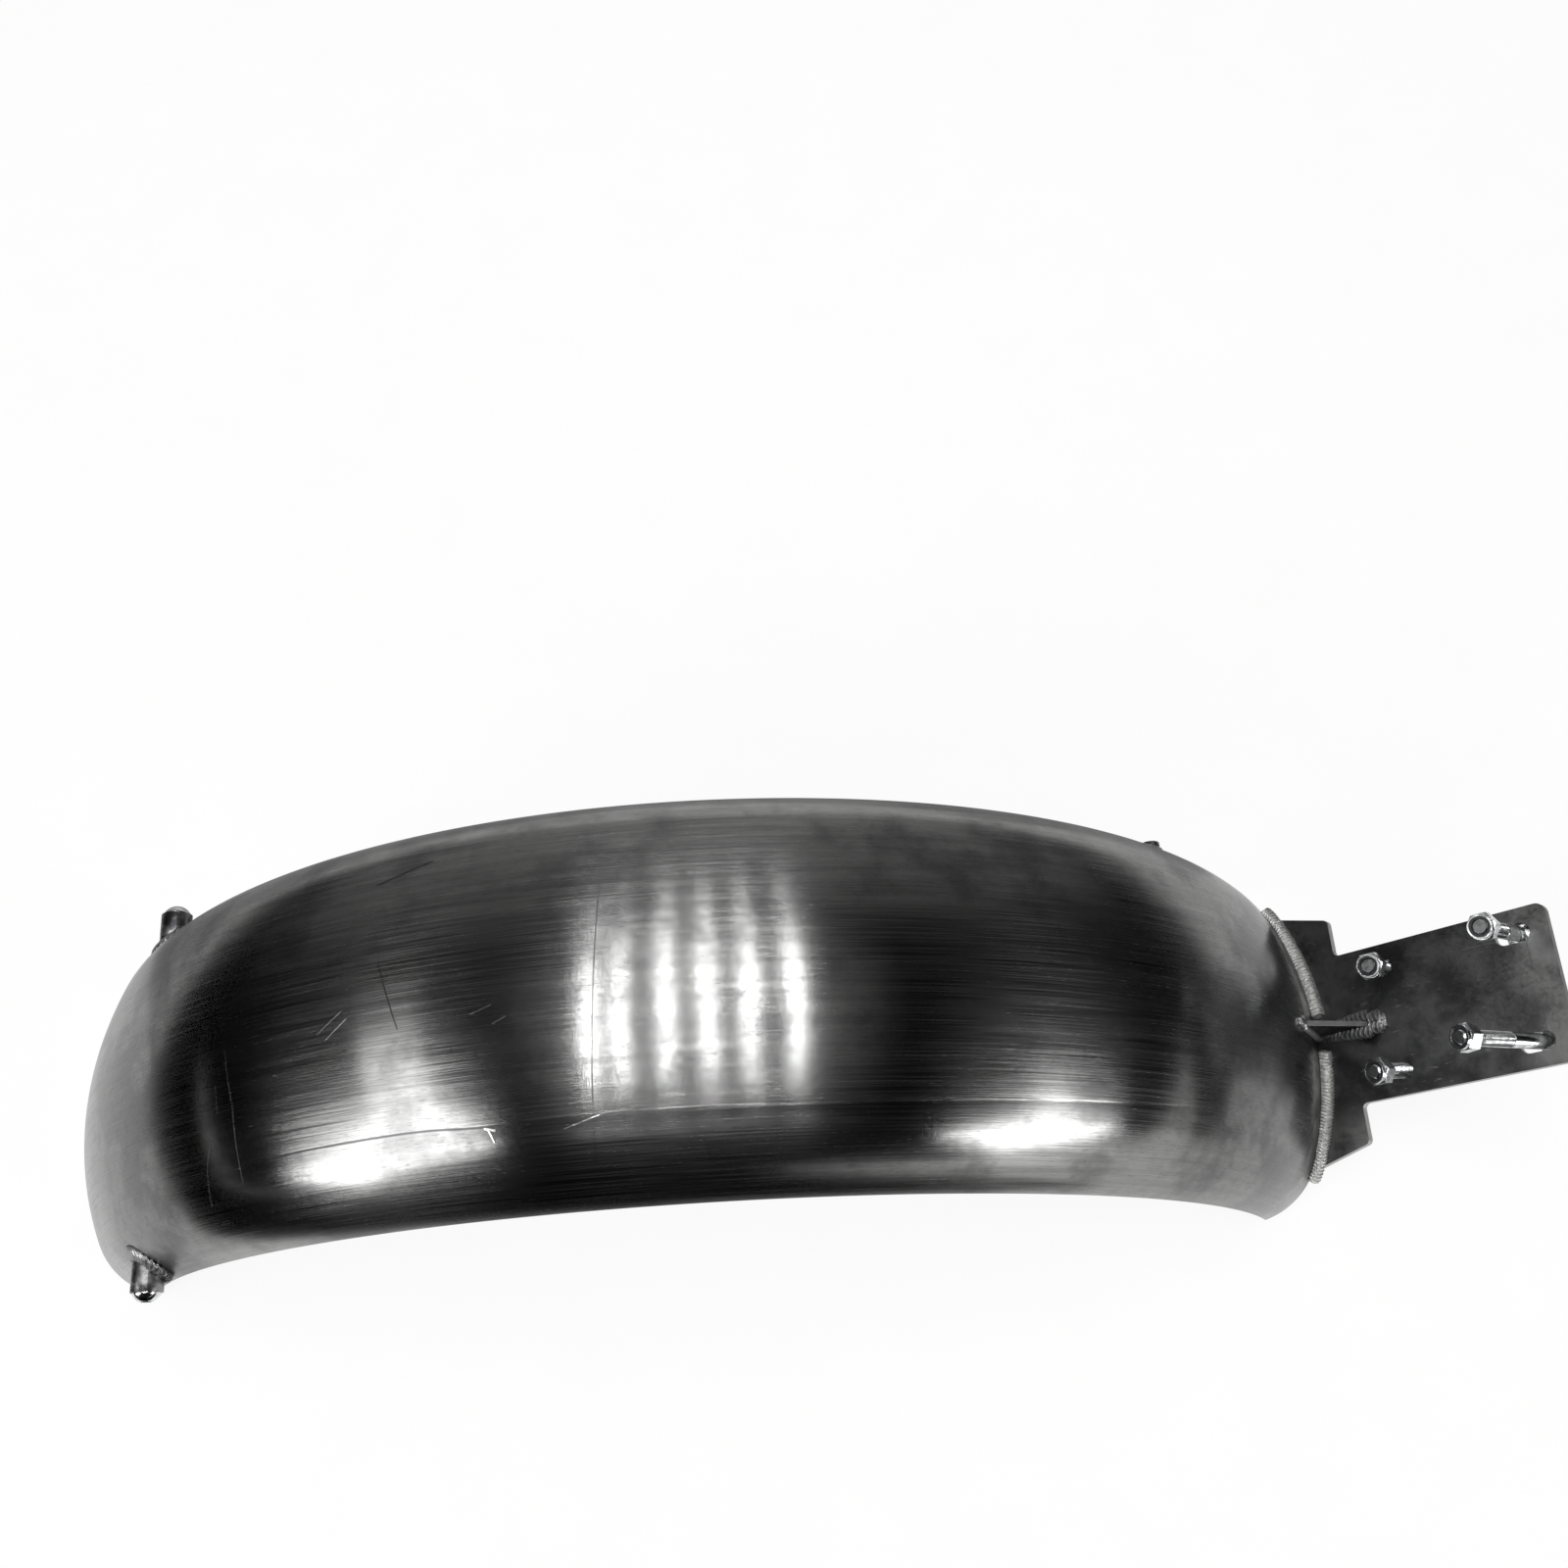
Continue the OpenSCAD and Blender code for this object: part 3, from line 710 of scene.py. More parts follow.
        # Colour: dull stains, brush lines, pits, burns and heat, one over the other, then the painted
        # shade and the painted highlight of the roll line, with the marks.
        stained = f.add(Step.FADE, stains, 0.42, 0.68, 0.0, 0.75)
        dull = f.add(Step.PLUS, f.add(Step.TIMES, ends, 0.75), stained)
        lines = f.add(Step.FADE, f.add(Step.TIMES, brush, bands), 0.12, 0.36, 0.5, 0.0)
        colour = f.add(Step.BLEND, lines, f.add(Step.BLEND, dull, self.bright, self.dull), self.dull)
        handled = f.chain(Step.TIMES, mottle, ends, 0.33)
        pitting = f.add(Step.HIGHER, f.add(Step.TIMES, pits, 0.3), handled)
        colour = f.add(Step.BLEND, pitting, colour, self.burnt)
        colour = f.add(Step.BLEND, f.burns(place, burns, f.grain(place, self.smoke)), colour, self.burnt)
        wander = f.add(Step.FADE, stains, 0.35, 0.65, -8.0, 8.0)
        heat = f.add(Step.FADE, f.add(Step.PLUS, along, wander), *self.heat_along)
        heat = f.add(Step.TIMES, heat, f.add(Step.FADE, f.add(Step.UNSIGNED, across), *self.heat_across))
        colour = f.add(Step.BLEND, f.add(Step.TIMES, heat, 0.5), colour, self.burnt)
        seam_shade, ridge, crease_shade = self.worked_line(f, sheet, along, across, bands)
        dark = f.add(Step.TIMES, self.marks(f, sheet, self.dark_marks), 0.6)
        # Painted shade of the seam and the crease, and the real dark marks, in the burnt colour.
        colour = f.add(Step.BLEND, f.chain(Step.HIGHER, seam_shade, crease_shade, dark), colour, self.burnt)
        # Bright scratches, and the painted highlight on the roll line's ridge.
        bright = f.add(Step.HIGHER, self.marks(f, sheet, self.bright_marks), ridge)
        colour = f.add(Step.BLEND, bright, colour, self.scratch_and_highlight)
        # Roughness: more where the sheet is stained, handled, pitted, brushed deeply or heated.
        rough = f.chain(
            Step.PLUS,
            f.add(Step.FADE, stains, 0.35, 0.7, self.roughness, self.roughness + 0.03),
            f.add(Step.TIMES, ends, 0.12),
            f.add(Step.TIMES, pits, self.pitted),
            f.add(Step.FADE, brush, 0.35, 0.68, -0.03, 0.06),
            f.add(Step.TIMES, heat, 0.3),
        )
        # Relief: fine brush lines and marks on the slow waves of the rolling.
        depths = ((brush, 0.55), (specks, 0.25), (seam_shade, -1.2), (bright, 0.8))
        height = f.chain(Step.PLUS, *(f.add(Step.TIMES, part, depth) for part, depth in depths))
        fine = f.add(Step.BUMP, height, 0.12, 0.0002)
        rolled = f.add(Step.BUMP, f.grain(sheet, self.waves), 0.1, 0.001, fine)
        tangent = f.add(Step.TANGENT, uv_map="Sheet")
        return f.metal(
            colour, rough, rolled, Anisotropic=self.grain_pull, Anisotropic_Rotation=0.25, Tangent=tangent
        )


@dataclass(frozen=True)
class MillScalePlate:
    """Hot rolled mild steel plate with its mill scale: a dark, cloudy, satin skin.

    Its sheared edges are bare and paler than its faces, and carry a painted highlight besides.
    """

    name: str
    face: Vector
    scale_dark: str = "#3b3b3c"
    scale_light: str = "#626263"
    scraped: str = "#8f8f8e"
    # Colour of the paler patches: painted light across the tongue's outer end.
    handled: str = "#858584"
    burnt: str = "#222224"
    bare_edge_and_highlight: str = "#a9a9a8"
    roughness: float = 0.48
    clouds: Grain = Grain((26.0, 26.0, 26.0), 6.0, 0.62)
    flecks: Grain = Grain((2.2, 2.2, 2.2), 4.0)
    scrapes: Grain = Grain((7.0, 2.0, 7.0), 5.0, 0.7)

    def build(self, burns: Sequence[Burn], worn: Sequence[Burn]) -> bpy.types.Material:
        """Builds the finish.

        Args:
            burns: Patches that welding has darkened.
            worn: Patches painted paler; those across the tongue's outer end are painted light where light
                falls on it.

        Returns:
            The material.
        """
        f = Finish(self.name)
        place = f.place()
        clouds, flecks = f.grain(place, self.clouds), f.grain(place, self.flecks)
        colour = f.add(Step.BLEND, f.add(Step.FADE, clouds, 0.36, 0.66), self.scale_dark, self.scale_light)
        cloudy = f.add(Step.FADE, clouds, 0.3, 0.6, 0.25, 1.0)
        # Painted light: paler patches, across the tongue's outer end where light falls on it.
        paler_patches = f.add(Step.TIMES, f.burns(place, worn, clouds), cloudy)
        colour = f.add(Step.BLEND, paler_patches, colour, self.handled)
        scrapes = f.add(Step.FADE, f.grain(place, self.scrapes), 0.6, 0.72, 0.0, 0.6)
        colour = f.add(Step.BLEND, scrapes, colour, self.scraped)
        colour = f.add(Step.BLEND, f.burns(place, burns, clouds), colour, self.burnt)
        # Bare edges, painted pale also as a highlight along them.
        facing = f.add(Step.UNSIGNED, f.add(Step.DOT, f.add(Step.FACE), tuple(self.face)))
        colour = f.add(Step.BLEND, f.add(Step.FADE, facing, 0.7, 0.4), colour, self.bare_edge_and_highlight)
        rough = f.add(Step.FADE, flecks, 0.3, 0.7, self.roughness - 0.07, self.roughness + 0.1)
        return f.metal(colour, rough, f.add(Step.BUMP, flecks, 0.25, 0.0002))


@dataclass(frozen=True)
class TurnedBarSteel:
    """Mild steel bar, turned on a lathe: fine rings, and darkened by the weld beside it."""

    metal: str = "#8a8a8a"
    heated: str = "#454547"
    roughness: float = 0.34
    # Turning marks are 0.1 mm apart. They are drawn 0.7 mm apart so that they show.
    rings: Grain = Grain((30.0, 0.7, 30.0), 2.0)
    smoke: Grain = Grain((6.0, 6.0, 6.0), 4.0)

    def build(self) -> bpy.types.Material:
        """Builds the finish.

        Returns:
            The material.
        """
        f = Finish("turned_bar_steel")
        place = f.place()
        rings = f.grain(place, self.rings)
        smoke = f.add(Step.FADE, f.grain(place, self.smoke), 0.38, 0.6)
        colour = f.add(Step.BLEND, smoke, self.metal, self.heated)
        rough = f.add(Step.FADE, rings, 0.3, 0.7, self.roughness - 0.05, self.roughness + 0.08)
        return f.metal(colour, rough, f.add(Step.BUMP, rings, 0.3, 0.0001))


@dataclass(frozen=True)
class WeldMetal:
    """Weld metal left as laid and wire brushed: pale ridges with soot and painted shade between them."""

    name: str = "brushed_weld_metal"
    ridge: str = "#f0f0ee"
    # Colour of soot, and of the painted shade between ripples and at the weld's edges.
    soot_and_shade: str = "#454546"
    roughness: float = 0.46
    # How strongly soot and painted shade darken the grooves and edges.
    sooty_and_shaded: float = 0.6
    crust: Grain = Grain((1.3, 1.3, 1.3), 5.0, 0.65)
    patches: Grain = Grain((11.0, 11.0, 11.0))

    def build(self) -> bpy.types.Material:
        """Builds the finish.

        Returns:
            The material.
        """
        f = Finish(self.name)
        place = f.place()
        crust, patches = f.grain(place, self.crust), f.grain(place, self.patches)
        patchy = f.add(Step.FADE, patches, 0.35, 0.65, 0.25, 1.0)
        dirt_and_shade = f.add(Step.TIMES, f.add(Step.FADE, crust, 0.5, 0.7), patchy)
        # Soot and painted shade lie between one ripple and the next, and along both edges of the weld.
        along, up = f.add(Step.SPLIT, f.add(Step.UV, uv_map="Bead")).node.outputs[:2]
        ripple = f.add(Step.FRACTION, along)
        off_middle = f.add(Step.UNSIGNED, f.add(Step.MINUS, up, 0.5))
        groove_soot_and_shade = f.chain(
            Step.HIGHER,
            f.add(Step.FADE, ripple, 0.32, 0.05),
            f.add(Step.FADE, ripple, 0.85, 1.0),
            f.add(Step.FADE, off_middle, 0.44, 0.5),
        )
        dirt_and_shade = f.add(Step.HIGHER, dirt_and_shade, f.add(Step.TIMES, groove_soot_and_shade, self.sooty_and_shaded))
        colour = f.add(Step.BLEND, dirt_and_shade, self.ridge, self.soot_and_shade)
        rough = f.add(Step.FADE, crust, 0.3, 0.7, self.roughness - 0.06, self.roughness + 0.16)
        return f.metal(colour, rough, f.add(Step.BUMP, crust, 0.5, 0.0004))


@dataclass(frozen=True)
class BrightZinc:
    """Steel with bright zinc plating: pale, slightly blue and clean, with a soft gloss."""

    name: str = "bright_zinc_plating"
    plating: str = "#d6d8d9"
    worn: str = "#a9aaaa"
    roughness: float = 0.17
    bloom: Grain = Grain((3.0, 3.0, 3.0), 4.0)

    def build(self) -> bpy.types.Material:
        """Builds the finish.

        Returns:
            The material.
        """
        f = Finish(self.name)
        bloom = f.grain(f.place(), self.bloom)
        colour = f.add(Step.BLEND, f.add(Step.FADE, bloom, 0.42, 0.68), self.plating, self.worn)
        rough = f.add(Step.FADE, bloom, 0.3, 0.7, self.roughness - 0.05, self.roughness + 0.1)
        return f.metal(colour, rough, f.add(Step.BUMP, bloom, 0.12, 0.0002))


@dataclass(frozen=True)
class MouldedNylon:
    """Dark moulded nylon: a matt ring in each lock nut."""

    pigment: str = "#1b1c1e"
    scuffed: str = "#303235"
    scuffs: Grain = Grain((0.9, 0.9, 0.9))

    def build(self) -> bpy.types.Material:
        """Builds the finish.

        Returns:
            The material.
        """
        f = Finish("moulded_nylon")
        scuffs = f.add(Step.FADE, f.grain(f.place(), self.scuffs), 0.5, 0.7)
        colour = f.add(Step.BLEND, scuffs, self.pigment, self.scuffed)
        return f.finish({"Base Color": colour, "Roughness": 0.42, "IOR": 1.53})


@dataclass(frozen=True)
class MattCloth:
    """Dyed cloth on a card, with no gloss: cotton velvet is all but black, and a grey cloth stands in for
    a shadow on the floor.
    """

    name: str
    dye: str

    def build(self) -> bpy.types.Material:
        """Builds the finish and returns the material."""
        f = Finish(self.name)
        return f.finish({"Base Color": self.dye, "Roughness": 0.9, "Specular IOR Level": 0.0})


@dataclass(frozen=True)
class PaintedFloor:
    """White painted studio floor, matt. It shows white and keeps soft shadows."""

    paint: str = "#f4f4f3"
    dusty: str = "#eeeeed"
    dust: Grain = Grain((45.0, 45.0, 45.0), 4.0)
    # Share of the floor's look that is plain white in the picture, and in reflections.
    backdrop: float = 0.9
    mirrored: float = 0.7

    def build(self) -> bpy.types.Material:
        """Builds the finish.

        Returns:
            The material.
        """
        f = Finish("white_painted_floor")
        dust = f.add(Step.FADE, f.grain(f.place(), self.dust), 0.3, 0.75)
        paint = f.add(Step.MATT, f.add(Step.BLEND, dust, self.paint, self.dusty), 0.3)
        path = f.add(Step.LIGHT_PATH).node.outputs
        seen = f.add(Step.TIMES, path["Is Camera Ray"], self.backdrop)
        bounced = f.add(Step.HIGHER, path["Is Glossy Ray"], path["Is Transmission Ray"])
        share = f.add(Step.HIGHER, seen, f.add(Step.TIMES, bounced, self.mirrored))
        f.add(Step.SURFACE_END, f.add(Step.LAYER, share, paint, f.add(Step.GLOW, "#ffffff", 1.0)))
        return f.material


# ---------------------------------------------------------------- rolled shell


@dataclass
class RolledShell:
    """The fender's shell, rolled from one sheet, with the bores that its bosses need."""

    wheel: Wheel
    section: Section
    material: bpy.types.Material
    stations: int = 220
    lanes: int = 104
    plate_weld_margin: float = 18.5
    # The finer skin lies this far inside the solid's, so that it never stands proud of it.
    skin_in: float = 0.06
    corner_lanes: int = 12
    bores: tuple[tuple[SkirtPiece, Side], ...] = ((BOSS, Side.NEAR), (BOSS, Side.FAR), (BUSH, Side.FAR))
    drill_sides: int = 40
    drill_span: tuple[float, float] = (70.0, 110.0)

    def tail_edge(self, radius: float) -> float:
        """Finds the tail end, with its rounded corners.

        Args:
            radius: Distance from the axle.

        Returns:
            Angle of the end at that radius.
        """
        w = self.wheel
        middle = w.skirt_r + w.tail_corner_r
        if radius >= math.sqrt(middle**2 - w.tail_corner_r**2):
            return -w.tail_angle
        lift = (middle**2 + radius**2 - w.tail_corner_r**2) / (2 * middle * radius)
        return -w.tail_round_angle - math.degrees(math.acos(min(1.0, lift)))

    def front_edge(self, radius: float) -> float:
        """Finds the front end, which follows the plate and then the cut corner.

        Args:
            radius: Distance from the axle.

        Returns:
            Angle of the end at that radius.
        """
        w = self.wheel
        start_r = w.crown_r - self.section.depth_at(self.section.shell_w / 2 - self.plate_weld_margin)
        on_plate = w.plate_edge_angle(radius)
        if radius >= start_r:
            return on_plate
        start = w.polar(start_r, w.plate_edge_angle(start_r))
        run = w.front_corner - start
        a, b, c = run.length_squared, 2 * start.dot(run), start.length_squared - radius**2
        share = (-b - math.sqrt(max(0.0, b * b - 4 * a * c))) / (2 * a)
        point = start + run * share
        return math.degrees(math.atan2(point.x, point.z))

    def lane_ways(self) -> list[float]:
        """Spreads lanes across the sheet, closer together along the skirt edges.

        Returns:
            Way of each lane from the crown's middle.
        """
        edge = self.section.reach(self.wheel.skirt_depth)
        corner = self.section.reach(self.wheel.skirt_depth - self.wheel.tail_corner_r)
        inner = [-corner + 2 * corner * i / (self.lanes - 1) for i in range(self.lanes)]
        turns = [math.pi / 2 * i / self.corner_lanes for i in range(1, self.corner_lanes + 1)]
        outer = [corner + (edge - corner) * math.sin(turn) for turn in turns]
        return [-w for w in reversed(outer)] + inner + outer

    def build(self) -> bpy.types.Object:
        """Makes the shell's mesh with its bores.

        Returns:
            The shell's object.
        """
        ways, lay, w = self.lane_ways(), self.wheel.lay(), self.wheel
        verts: list[Vector] = []
        marks: list[tuple[float, float]] = []
        for inset in (self.skin_in, self.section.sheet_t):
            for way in ways:
                y, depth, lean = self.section.at(way)
                radius = max(w.crown_r - depth - inset * math.cos(lean), w.skirt_r)
                place_y = y - inset * math.sin(lean)
                tail, front = self.tail_edge(radius), self.front_edge(radius)
                for i in range(self.stations + 1):
                    angle = tail + (front - tail) * i / self.stations
                    verts.append(lay @ w.polar(radius, angle, place_y))
                    marks.append((math.radians(angle) * w.crown_r * MM, way * MM))
        row, lanes = self.stations + 1, len(ways)
        inner = row * lanes
        faces: list[tuple[int, ...]] = []
        for j in range(lanes - 1):
            for i in range(self.stations):
                a = j * row + i
                faces.append((a, a + 1, a + row + 1, a + row))
                faces.append((inner + a, inner + a + row, inner + a + row + 1, inner + a + 1))
            for i, turn in ((0, 1), (self.stations, -1)):
                a = j * row + i
                faces.append((a, a + row, inner + a + row, inner + a)[::turn])
        for j, turn in ((0, 1), (lanes - 1, -1)):
            for i in range(self.stations):
                a = j * row + i
                faces.append((a, inner + a, inner + a + 1, a + 1)[::turn])
        shell = new_piece("rolled_shell", verts, faces, self.material)
        layer = shell.data.uv_layers.new(name="Sheet")
        for loop in shell.data.loops:
            layer.data[loop.index].uv = marks[loop.vertex_index]
        self.drill(shell)
        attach(shell, "root")
        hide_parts("fender_shell")
        return shell

    def drill(self, shell: bpy.types.Object) -> None:
        """Cuts the bores through the sheet.

        Args:
            shell: Shell that is drilled.
        """
        turns = [math.tau * k / self.drill_sides for k in range(self.drill_sides)]
        for piece, side in self.bores:
            frame, radius = self.wheel.skirt(piece, side), piece.bore_r
            rings = [
                [frame @ Vector((radius * math.cos(t), radius * math.sin(t), z)) for t in turns]
                for z in self.drill_span
            ]
            if side is Side.NEAR:
                rings = rings[::-1]
            drill = new_piece("drill", *skin(rings), self.material)
            cut = shell.modifiers.new("bore", "BOOLEAN")
            cut.object, cut.operation, cut.solver = drill, "DIFFERENCE", "EXACT"
            graph = bpy.context.evaluated_depsgraph_get()
            mesh = bpy.data.meshes.new_from_object(shell.evaluated_get(graph))
            shell.modifiers.clear()
            shell.data = mesh
            bpy.data.objects.remove(drill)


# ---------------------------------------------------------------- welds


@dataclass(frozen=True)
class BeadStation:
    """A place along a weld: its foot and the two faces that it joins."""

    foot: Vector
    out: Vector
    up: Vector
    size: float = 1.0


@dataclass
class WeldBead:
    """A fillet weld with the overlapping ripples that a hand-held torch leaves."""

    name: str
    stations: list[BeadStation]
    material: bpy.types.Material
    nodes: tuple[str, ...]
    closed: bool = False
    ripple_mm: float = 2.1
    ripple_height: float = 0.17
    ripple_steps: int = 7
    # How far a ripple's middle runs ahead of its edges, in ripples, and how steep its front is.
    crescent: float = 0.75
    steepness: float = 0.6
    # Uneven width of the weld: share of its size, waves a millimetre, and place in the noise.
    uneven: tuple[tuple[float, float, float], ...] = ((0.06, 0.22, 3.1), (0.04, 0.9, 7.7))
    points: int = 11

    def resample(self, step: float) -> list[BeadStation]:
        """Spreads stations evenly along the weld.

        Args:
            step: Way between two stations.

        Returns:
            The new stations.
        """
        source = self.stations + ([self.stations[0]] if self.closed else [])
        ways = [0.0]
        for a, b in zip(source, source[1:]):
            ways.append(ways[-1] + (b.foot - a.foot).length)
        count = max(2, round(ways[-1] / step))
        result: list[BeadStation] = []
        k = 0
        for i in range(count if self.closed else count + 1):
            way = ways[-1] * i / count
            while k < len(ways) - 2 and ways[k + 1] < way:
                k += 1
            span = max(ways[k + 1] - ways[k], 1e-6)
            t = (way - ways[k]) / span
            a, b = source[k], source[k + 1]
            foot, out, up = a.foot.lerp(b.foot, t), a.out.lerp(b.out, t), a.up.lerp(b.up, t)
            result.append(BeadStation(foot, out, up, a.size + (b.size - a.size) * t))
        return result

    def build(self) -> bpy.types.Object:
        """Makes the bead's mesh.

        Returns:
            The bead's object.
        """
        step = self.ripple_mm / self.ripple_steps
        stations = self.resample(step)
        length = step * len(stations)
        pitch = length / max(1, round(length / self.ripple_mm))
        rings: list[Ring] = []
        marks: list[tuple[float, float]] = []
        for i, station in enumerate(stations):
            way = i * step
            marks.append((way / pitch, 0.0))
            wander = sum(
                share * noise.noise(Vector((way * rate, seed, 0.0))) for share, rate, seed in self.uneven
            )
            ring = [station.foot]
            for j in range(self.points):
                turn = math.pi / 2 * j / (self.points - 1)
                laid = way / pitch - self.crescent * math.sin(2 * turn)
                marks.append((laid, j / (self.points - 1)))
                ripple = self.ripple_height * (1 - abs(2 * (laid % 1.0) ** self.steepness - 1))
                grow = station.size * (1 - self.ripple_height + ripple + wander)
                face = station.out * math.cos(turn) + station.up * math.sin(turn)
                ring.append(station.foot + face * grow)
            rings.append(ring)
        bead = new_piece(self.name, *skin(rings, self.closed), self.material, 50.0)
        layer = bead.data.uv_layers.new(name="Bead")
        for loop in bead.data.loops:
            layer.data[loop.index].uv = marks[loop.vertex_index]
        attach(bead, "root")
        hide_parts(*self.nodes)
        return bead


@dataclass
class Welds:
    """All the welds of the fender."""

    wheel: Wheel
    section: Section
    material: bpy.types.Material
    sooty_and_shaded: bpy.types.Material
    plate_leg: float = 5.0
    plate_w: float = 7.5
    weld_narrow: float = 40.0
    blunt: float = 0.6
    plate_gap: float = 8.5
    plate_margin: float = 18.5
    rib_t: float = 3.0
    rib_foot: float = 31.0
    rib_back: float = 38.0
    rib_r: float = 3.0
    rib_bead_end: float = 6.0
    pool_end: float = 10.0
    pool_w: float = 6.5
    pool_h: float = 3.5
    clear: float = 0.08
    plate_steps: int = 60
    ring_steps: int = 72

    def plate_reach(self, y: float, z: float) -> float:
        """Finds the skin over the plate.

        Args:
            y: Distance from the middle plane.
            z: Height over the plate.

        Returns:
            Way of the skin along the tongue.
        """
        w = self.wheel
        radius = w.crown_r - self.section.depth_at(y)
        return math.sqrt(radius**2 - (w.plate_off - z) ** 2) - math.sqrt(w.crown_r**2 - w.plate_off**2)

    def plate_weld(self, side: Side) -> WeldBead:
        """Lays one half of the weld between the shell and the plate.

        Args:
            side: Half to lay.

        Returns:
            The bead.
        """
        frame = self.wheel.plate()
        turn = frame.to_3x3()
        end = self.section.shell_w / 2 - self.plate_margin
        stations = []
        for i in range(self.plate_steps + 1):
            y = self.plate_gap + (end - self.plate_gap) * i / self.plate_steps
            run = unit(self.plate_reach(y + 0.1, 0) - self.plate_reach(y - 0.1, 0), 0.2)
            out = Vector((run.y, -run.x, 0))
            lift = (self.plate_reach(y, self.plate_leg) - self.plate_reach(y, 0)) * out.x
            up = out * lift + Vector((0, 0, self.plate_leg))
            foot = Vector((self.plate_reach(y, 0), y, 0)) + out * self.clear
            flip = Vector((1, side.value, 1))
            width = self.plate_w * math.cos(math.radians(self.weld_narrow * y / end))
            size = self.blunt if i in (0, self.plate_steps) else 1.0
            stations.append(
                BeadStation(frame @ (foot * flip), turn @ (out * width * flip), turn @ (up * flip), size)
            )
        name = side.name.lower()
        nodes = (f"plate_weld_{name}",)
        return WeldBead(f"plate_bead_{name}", stations, self.material, nodes, ripple_mm=1.7)

    def rib_weld(self, side: Side) -> WeldBead:
        """Lays the weld along one side of the rib: over the plate, then up the crown.

        Args:
            side: Side of the rib.

        Returns:
            The bead.
        """
        w, lay = self.wheel, self.wheel.lay()
        turn = lay.to_3x3()
        along = w.polar(1.0, w.plate_dir)
        corner = w.polar(w.crown_r, w.front_angle)
        off_plate = Vector((-along.z, 0, along.x))
        off_skin = corner.normalized()
        beside = self.rib_t / 2
        bead, pool = Vector((self.rib_r, self.rib_r)), Vector((self.pool_w, self.pool_h))
        foot_end, back_end = self.rib_foot + self.clear, self.rib_back + self.clear
        rows: list[tuple[Vector, Vector, float, Vector]] = [
            (corner + along * way, off_plate, y, size)
            for way, y, size in (
                (self.rib_foot + self.pool_end, 0.0, self.blunt * pool),
                (self.rib_foot + self.pool_end - self.pool_h, 0.0, pool),
                (self.rib_foot + beside, 0.0, pool),
                (foot_end, beside, pool),
                (foot_end / 2, beside, (bead + pool) / 2),
            )
        ]
        rows.append((corner, (off_plate + off_skin) / (1 + off_plate.dot(off_skin)), beside, bead))
        backs = [(back_end * i / 6, beside, bead) for i in range(1, 7)]
        backs.append((self.rib_back + beside, 0.0, bead))
        backs.append((self.rib_back + self.rib_bead_end, 0.0, self.blunt * bead))
        for back, y, size in backs:
            point = w.polar(w.crown_r, w.front_angle - math.degrees(back / w.crown_r))
            rows.append((point, point.normalized(), y, size))
        stations = []
        for point, rise, y, size in rows:
            foot = point + rise * self.clear + Vector((0, side.value * (y + self.clear), 0))
            out = turn @ Vector((0, side.value * size.x, 0))
            stations.append(BeadStation(lay @ foot, out, turn @ (rise * size.y)))
        name = side.name.lower()
        nodes = (f"gusset_weld_{name}",)
        return WeldBead(f"rib_bead_{name}", stations, self.sooty_and_shaded, nodes, ripple_mm=2.6)

    def ring_weld(self, name: str, node: str, piece: SkirtPiece, side: Side) -> WeldBead:
        """Lays the weld round a piece that stands on a skirt.

        Args:
            name: Name of the bead.
            node: Node that it stands for.
            piece: Round piece.
            side: Skirt that carries it.

        Returns:
            The bead.
        """
        frame = self.wheel.skirt(piece, side)
        turn = frame.to_3x3()

        def on_skin(radius: float, angle: float) -> Vector:
            """Finds a place on the outer skin.

            Args:
                radius: Distance from the piece's axis.
                angle: Way round it, in radians.

            Returns:
                The place in the piece's frame.
            """
            x, y = radius * math.cos(angle), radius * math.sin(angle)
            gap = math.hypot(x, self.wheel.crown_r - piece.depth - y)
            height = self.section.half_width(self.wheel.crown_r - gap)
            return Vector((x, y, height + self.clear))

        base = piece.radius + self.clear
        up = turn @ Vector((0, 0, piece.weld_leg))
        stations = []
        for i in range(self.ring_steps):
            t = math.tau * i / self.ring_steps
            width = piece.weld_leg + piece.weld_front * max(0.0, math.cos(t)) ** 2
            foot = on_skin(base, t)
            stations.append(BeadStation(frame @ foot, turn @ (on_skin(base + width, t) - foot), up))
        return WeldBead(name, stations, self.sooty_and_shaded, (node,), closed=True, ripple_mm=1.9)

    def build(self) -> list[bpy.types.Object]:
        """Makes all the welds.

        Returns:
            Their objects.
        """
        beads = [self.plate_weld(side) for side in Side] + [self.rib_weld(side) for side in Side]
        for side in Side:
            name = side.name.lower()
            beads.append(self.ring_weld(f"boss_bead_{name}", f"boss_weld_{name}", BOSS, side))
        beads.append(self.ring_weld("bush_bead", "side_bush_weld", BUSH, Side.FAR))
        return [bead.build() for bead in beads]


# ---------------------------------------------------------------- plate bolts


@dataclass(frozen=True)
class BoltPlace:
    """Where a bolt stands in the plate, and how it leans."""

    name: str
    reach: float
    side: Side
    length: float
    plain: float
    lean_out: float
    lean_side: float


